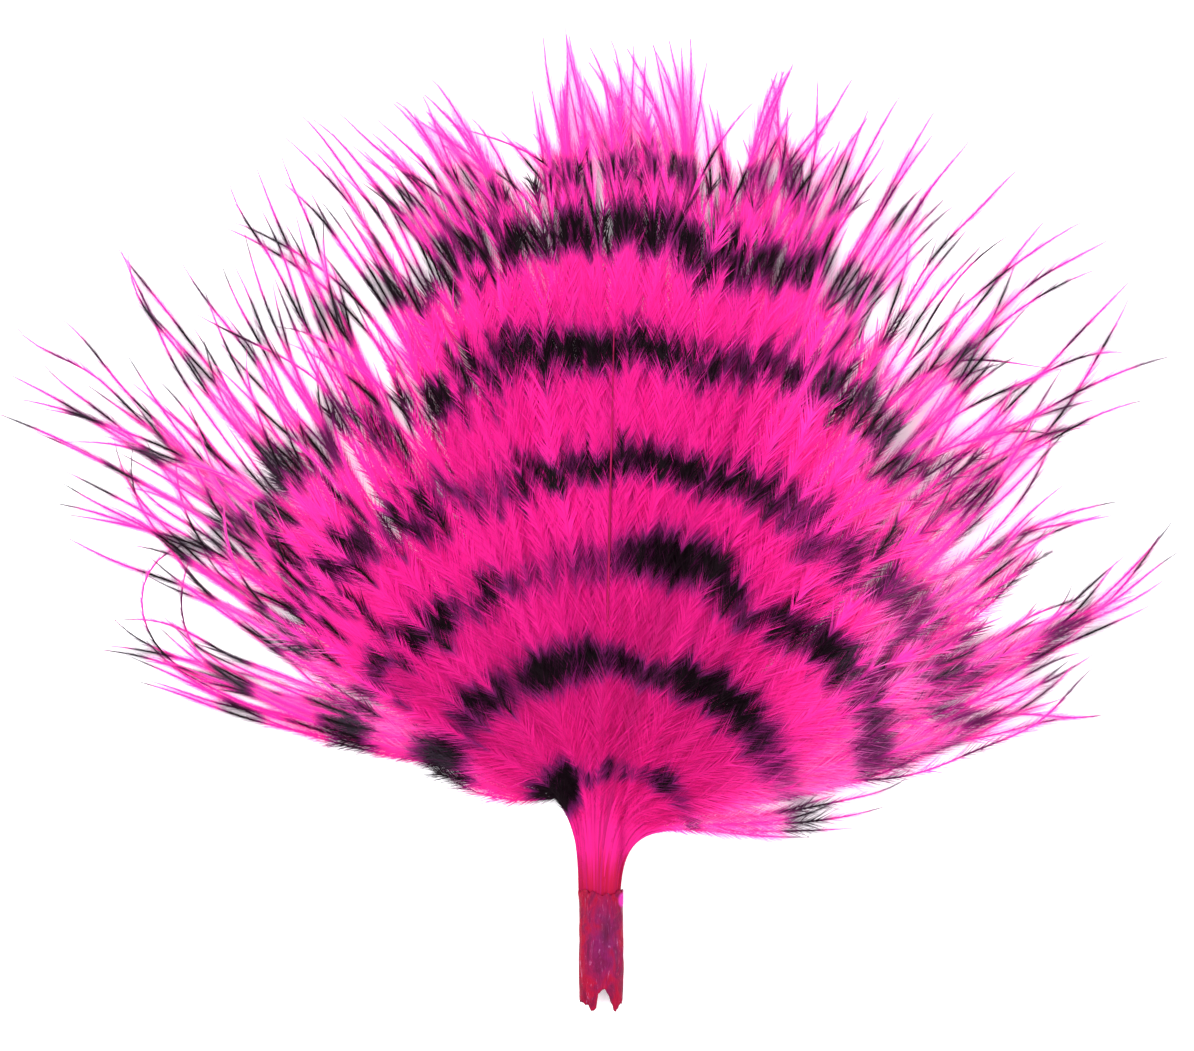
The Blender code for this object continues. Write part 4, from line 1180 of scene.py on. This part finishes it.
def shaft_rind():
    """Horny rind of the shaft, dyed: smooth and streaked along its length. Deeper in colour
    than the down, it reads as the one firm line in the fan."""
    material, tree = empty_material("feather_shaft_horn_dyed")
    place = add_node(tree, "ShaderNodeTexCoord").outputs["Object"]
    fibres = stretched(tree, place, 0.06, SHAFT_STREAK, 2.0, 0.0)
    colour = colour_ramp(tree, fibres, ((0.35, SHAFT_CRIMSON), (0.65, SHAFT_PINK)))
    return finished(material, tree, keratin(tree, colour, 0.5, 0.06))


tube_piece("shaft", shaft_rows(), shaft_rind())


# %% [markdown]
# ## Floor, light and camera
#
# The feather lies on a white sheet and is seen from straight above through a long lens, so
# that nothing leans. Broad light from all sides keeps the shadows faint.

# %% The stage
PAPER_WHITE = "#FBFAFC"
LIT_FROM_BELOW = 0.30      # light that comes up through the sheet and fills the gaps
FLOOR_SIZE = 1.6
ROOM_WHITE, ROOM_LIGHT = "#FBF9FF", 0.90


def white_floor():
    """A square of matt white paper, lit a little from below, so that it stays white between
    the barbs, where they shade it."""
    material, tree = empty_material("white_paper_matt")
    surface = add_node(tree, "ShaderNodeBsdfPrincipled", {}, {
        "Base Color": linear(PAPER_WHITE), "Roughness": 0.9, "Specular IOR Level": 0.2,
        "Emission Color": linear(PAPER_WHITE), "Emission Strength": LIT_FROM_BELOW,
    })
    half = FLOOR_SIZE / 2
    corners = np.array(((-half, -half, 0), (half, -half, 0), (half, half, 0), (-half, half, 0)))
    square = [np.array(((0, 1, 2, 3),))]
    floor, _, _ = mesh_object("floor", corners, square, finished(material, tree, surface))


white_floor()

world = bpy.data.worlds.new("soft_white_room")
bpy.context.scene.world = world
world.use_nodes = True
room = world.node_tree.nodes["Background"]
room.inputs["Color"].default_value = linear(ROOM_WHITE)
room.inputs["Strength"].default_value = ROOM_LIGHT

# %% Two soft lamps
# name, place in metres, size in metres, watts
LAMPS = (
    ("overhead_left", (-0.45, 0.35, 0.85), 0.7, 11.4),
    ("overhead_right", (0.50, -0.10, 0.80), 0.7, 6.2),
)
LIT_POINT = np.array((0.0, 0.036, 0.0))
for name, place, size, power in LAMPS:
    lamp = bpy.data.lights.new(name, "AREA")
    lamp.shape, lamp.size, lamp.energy = "DISK", size, power
    holder = bpy.data.objects.new(name, lamp)
    bpy.context.scene.collection.objects.link(holder)
    holder.location = place
    aim = Vector(LIT_POINT - np.array(place))
    holder.rotation_euler = aim.to_track_quat("-Z", "Y").to_euler()

# %% The camera
PHOTO_WIDTH, PHOTO_HEIGHT = 1194, 1051
MM_PER_PIXEL = 0.1
NECK_PIXEL = (601.0, 888.0)
LENS, SENSOR = 200.0, 36.0

camera_data = bpy.data.cameras.new("straight_down")
camera_data.lens, camera_data.sensor_width = LENS, SENSOR
camera_data.clip_start, camera_data.clip_end = 0.05, 5.0
camera = bpy.data.objects.new("straight_down", camera_data)
bpy.context.scene.collection.objects.link(camera)
frame_width = PHOTO_WIDTH * MM_PER_PIXEL * MM
camera.location = (
    (PHOTO_WIDTH / 2 - NECK_PIXEL[0]) * MM_PER_PIXEL * MM,
    (NECK_PIXEL[1] - PHOTO_HEIGHT / 2) * MM_PER_PIXEL * MM,
    frame_width * LENS / SENSOR,
)
bpy.context.scene.camera = camera
bpy.context.scene.view_settings.view_transform = "Standard"
print("camera", round(camera.location.z, 3), "m above the floor")
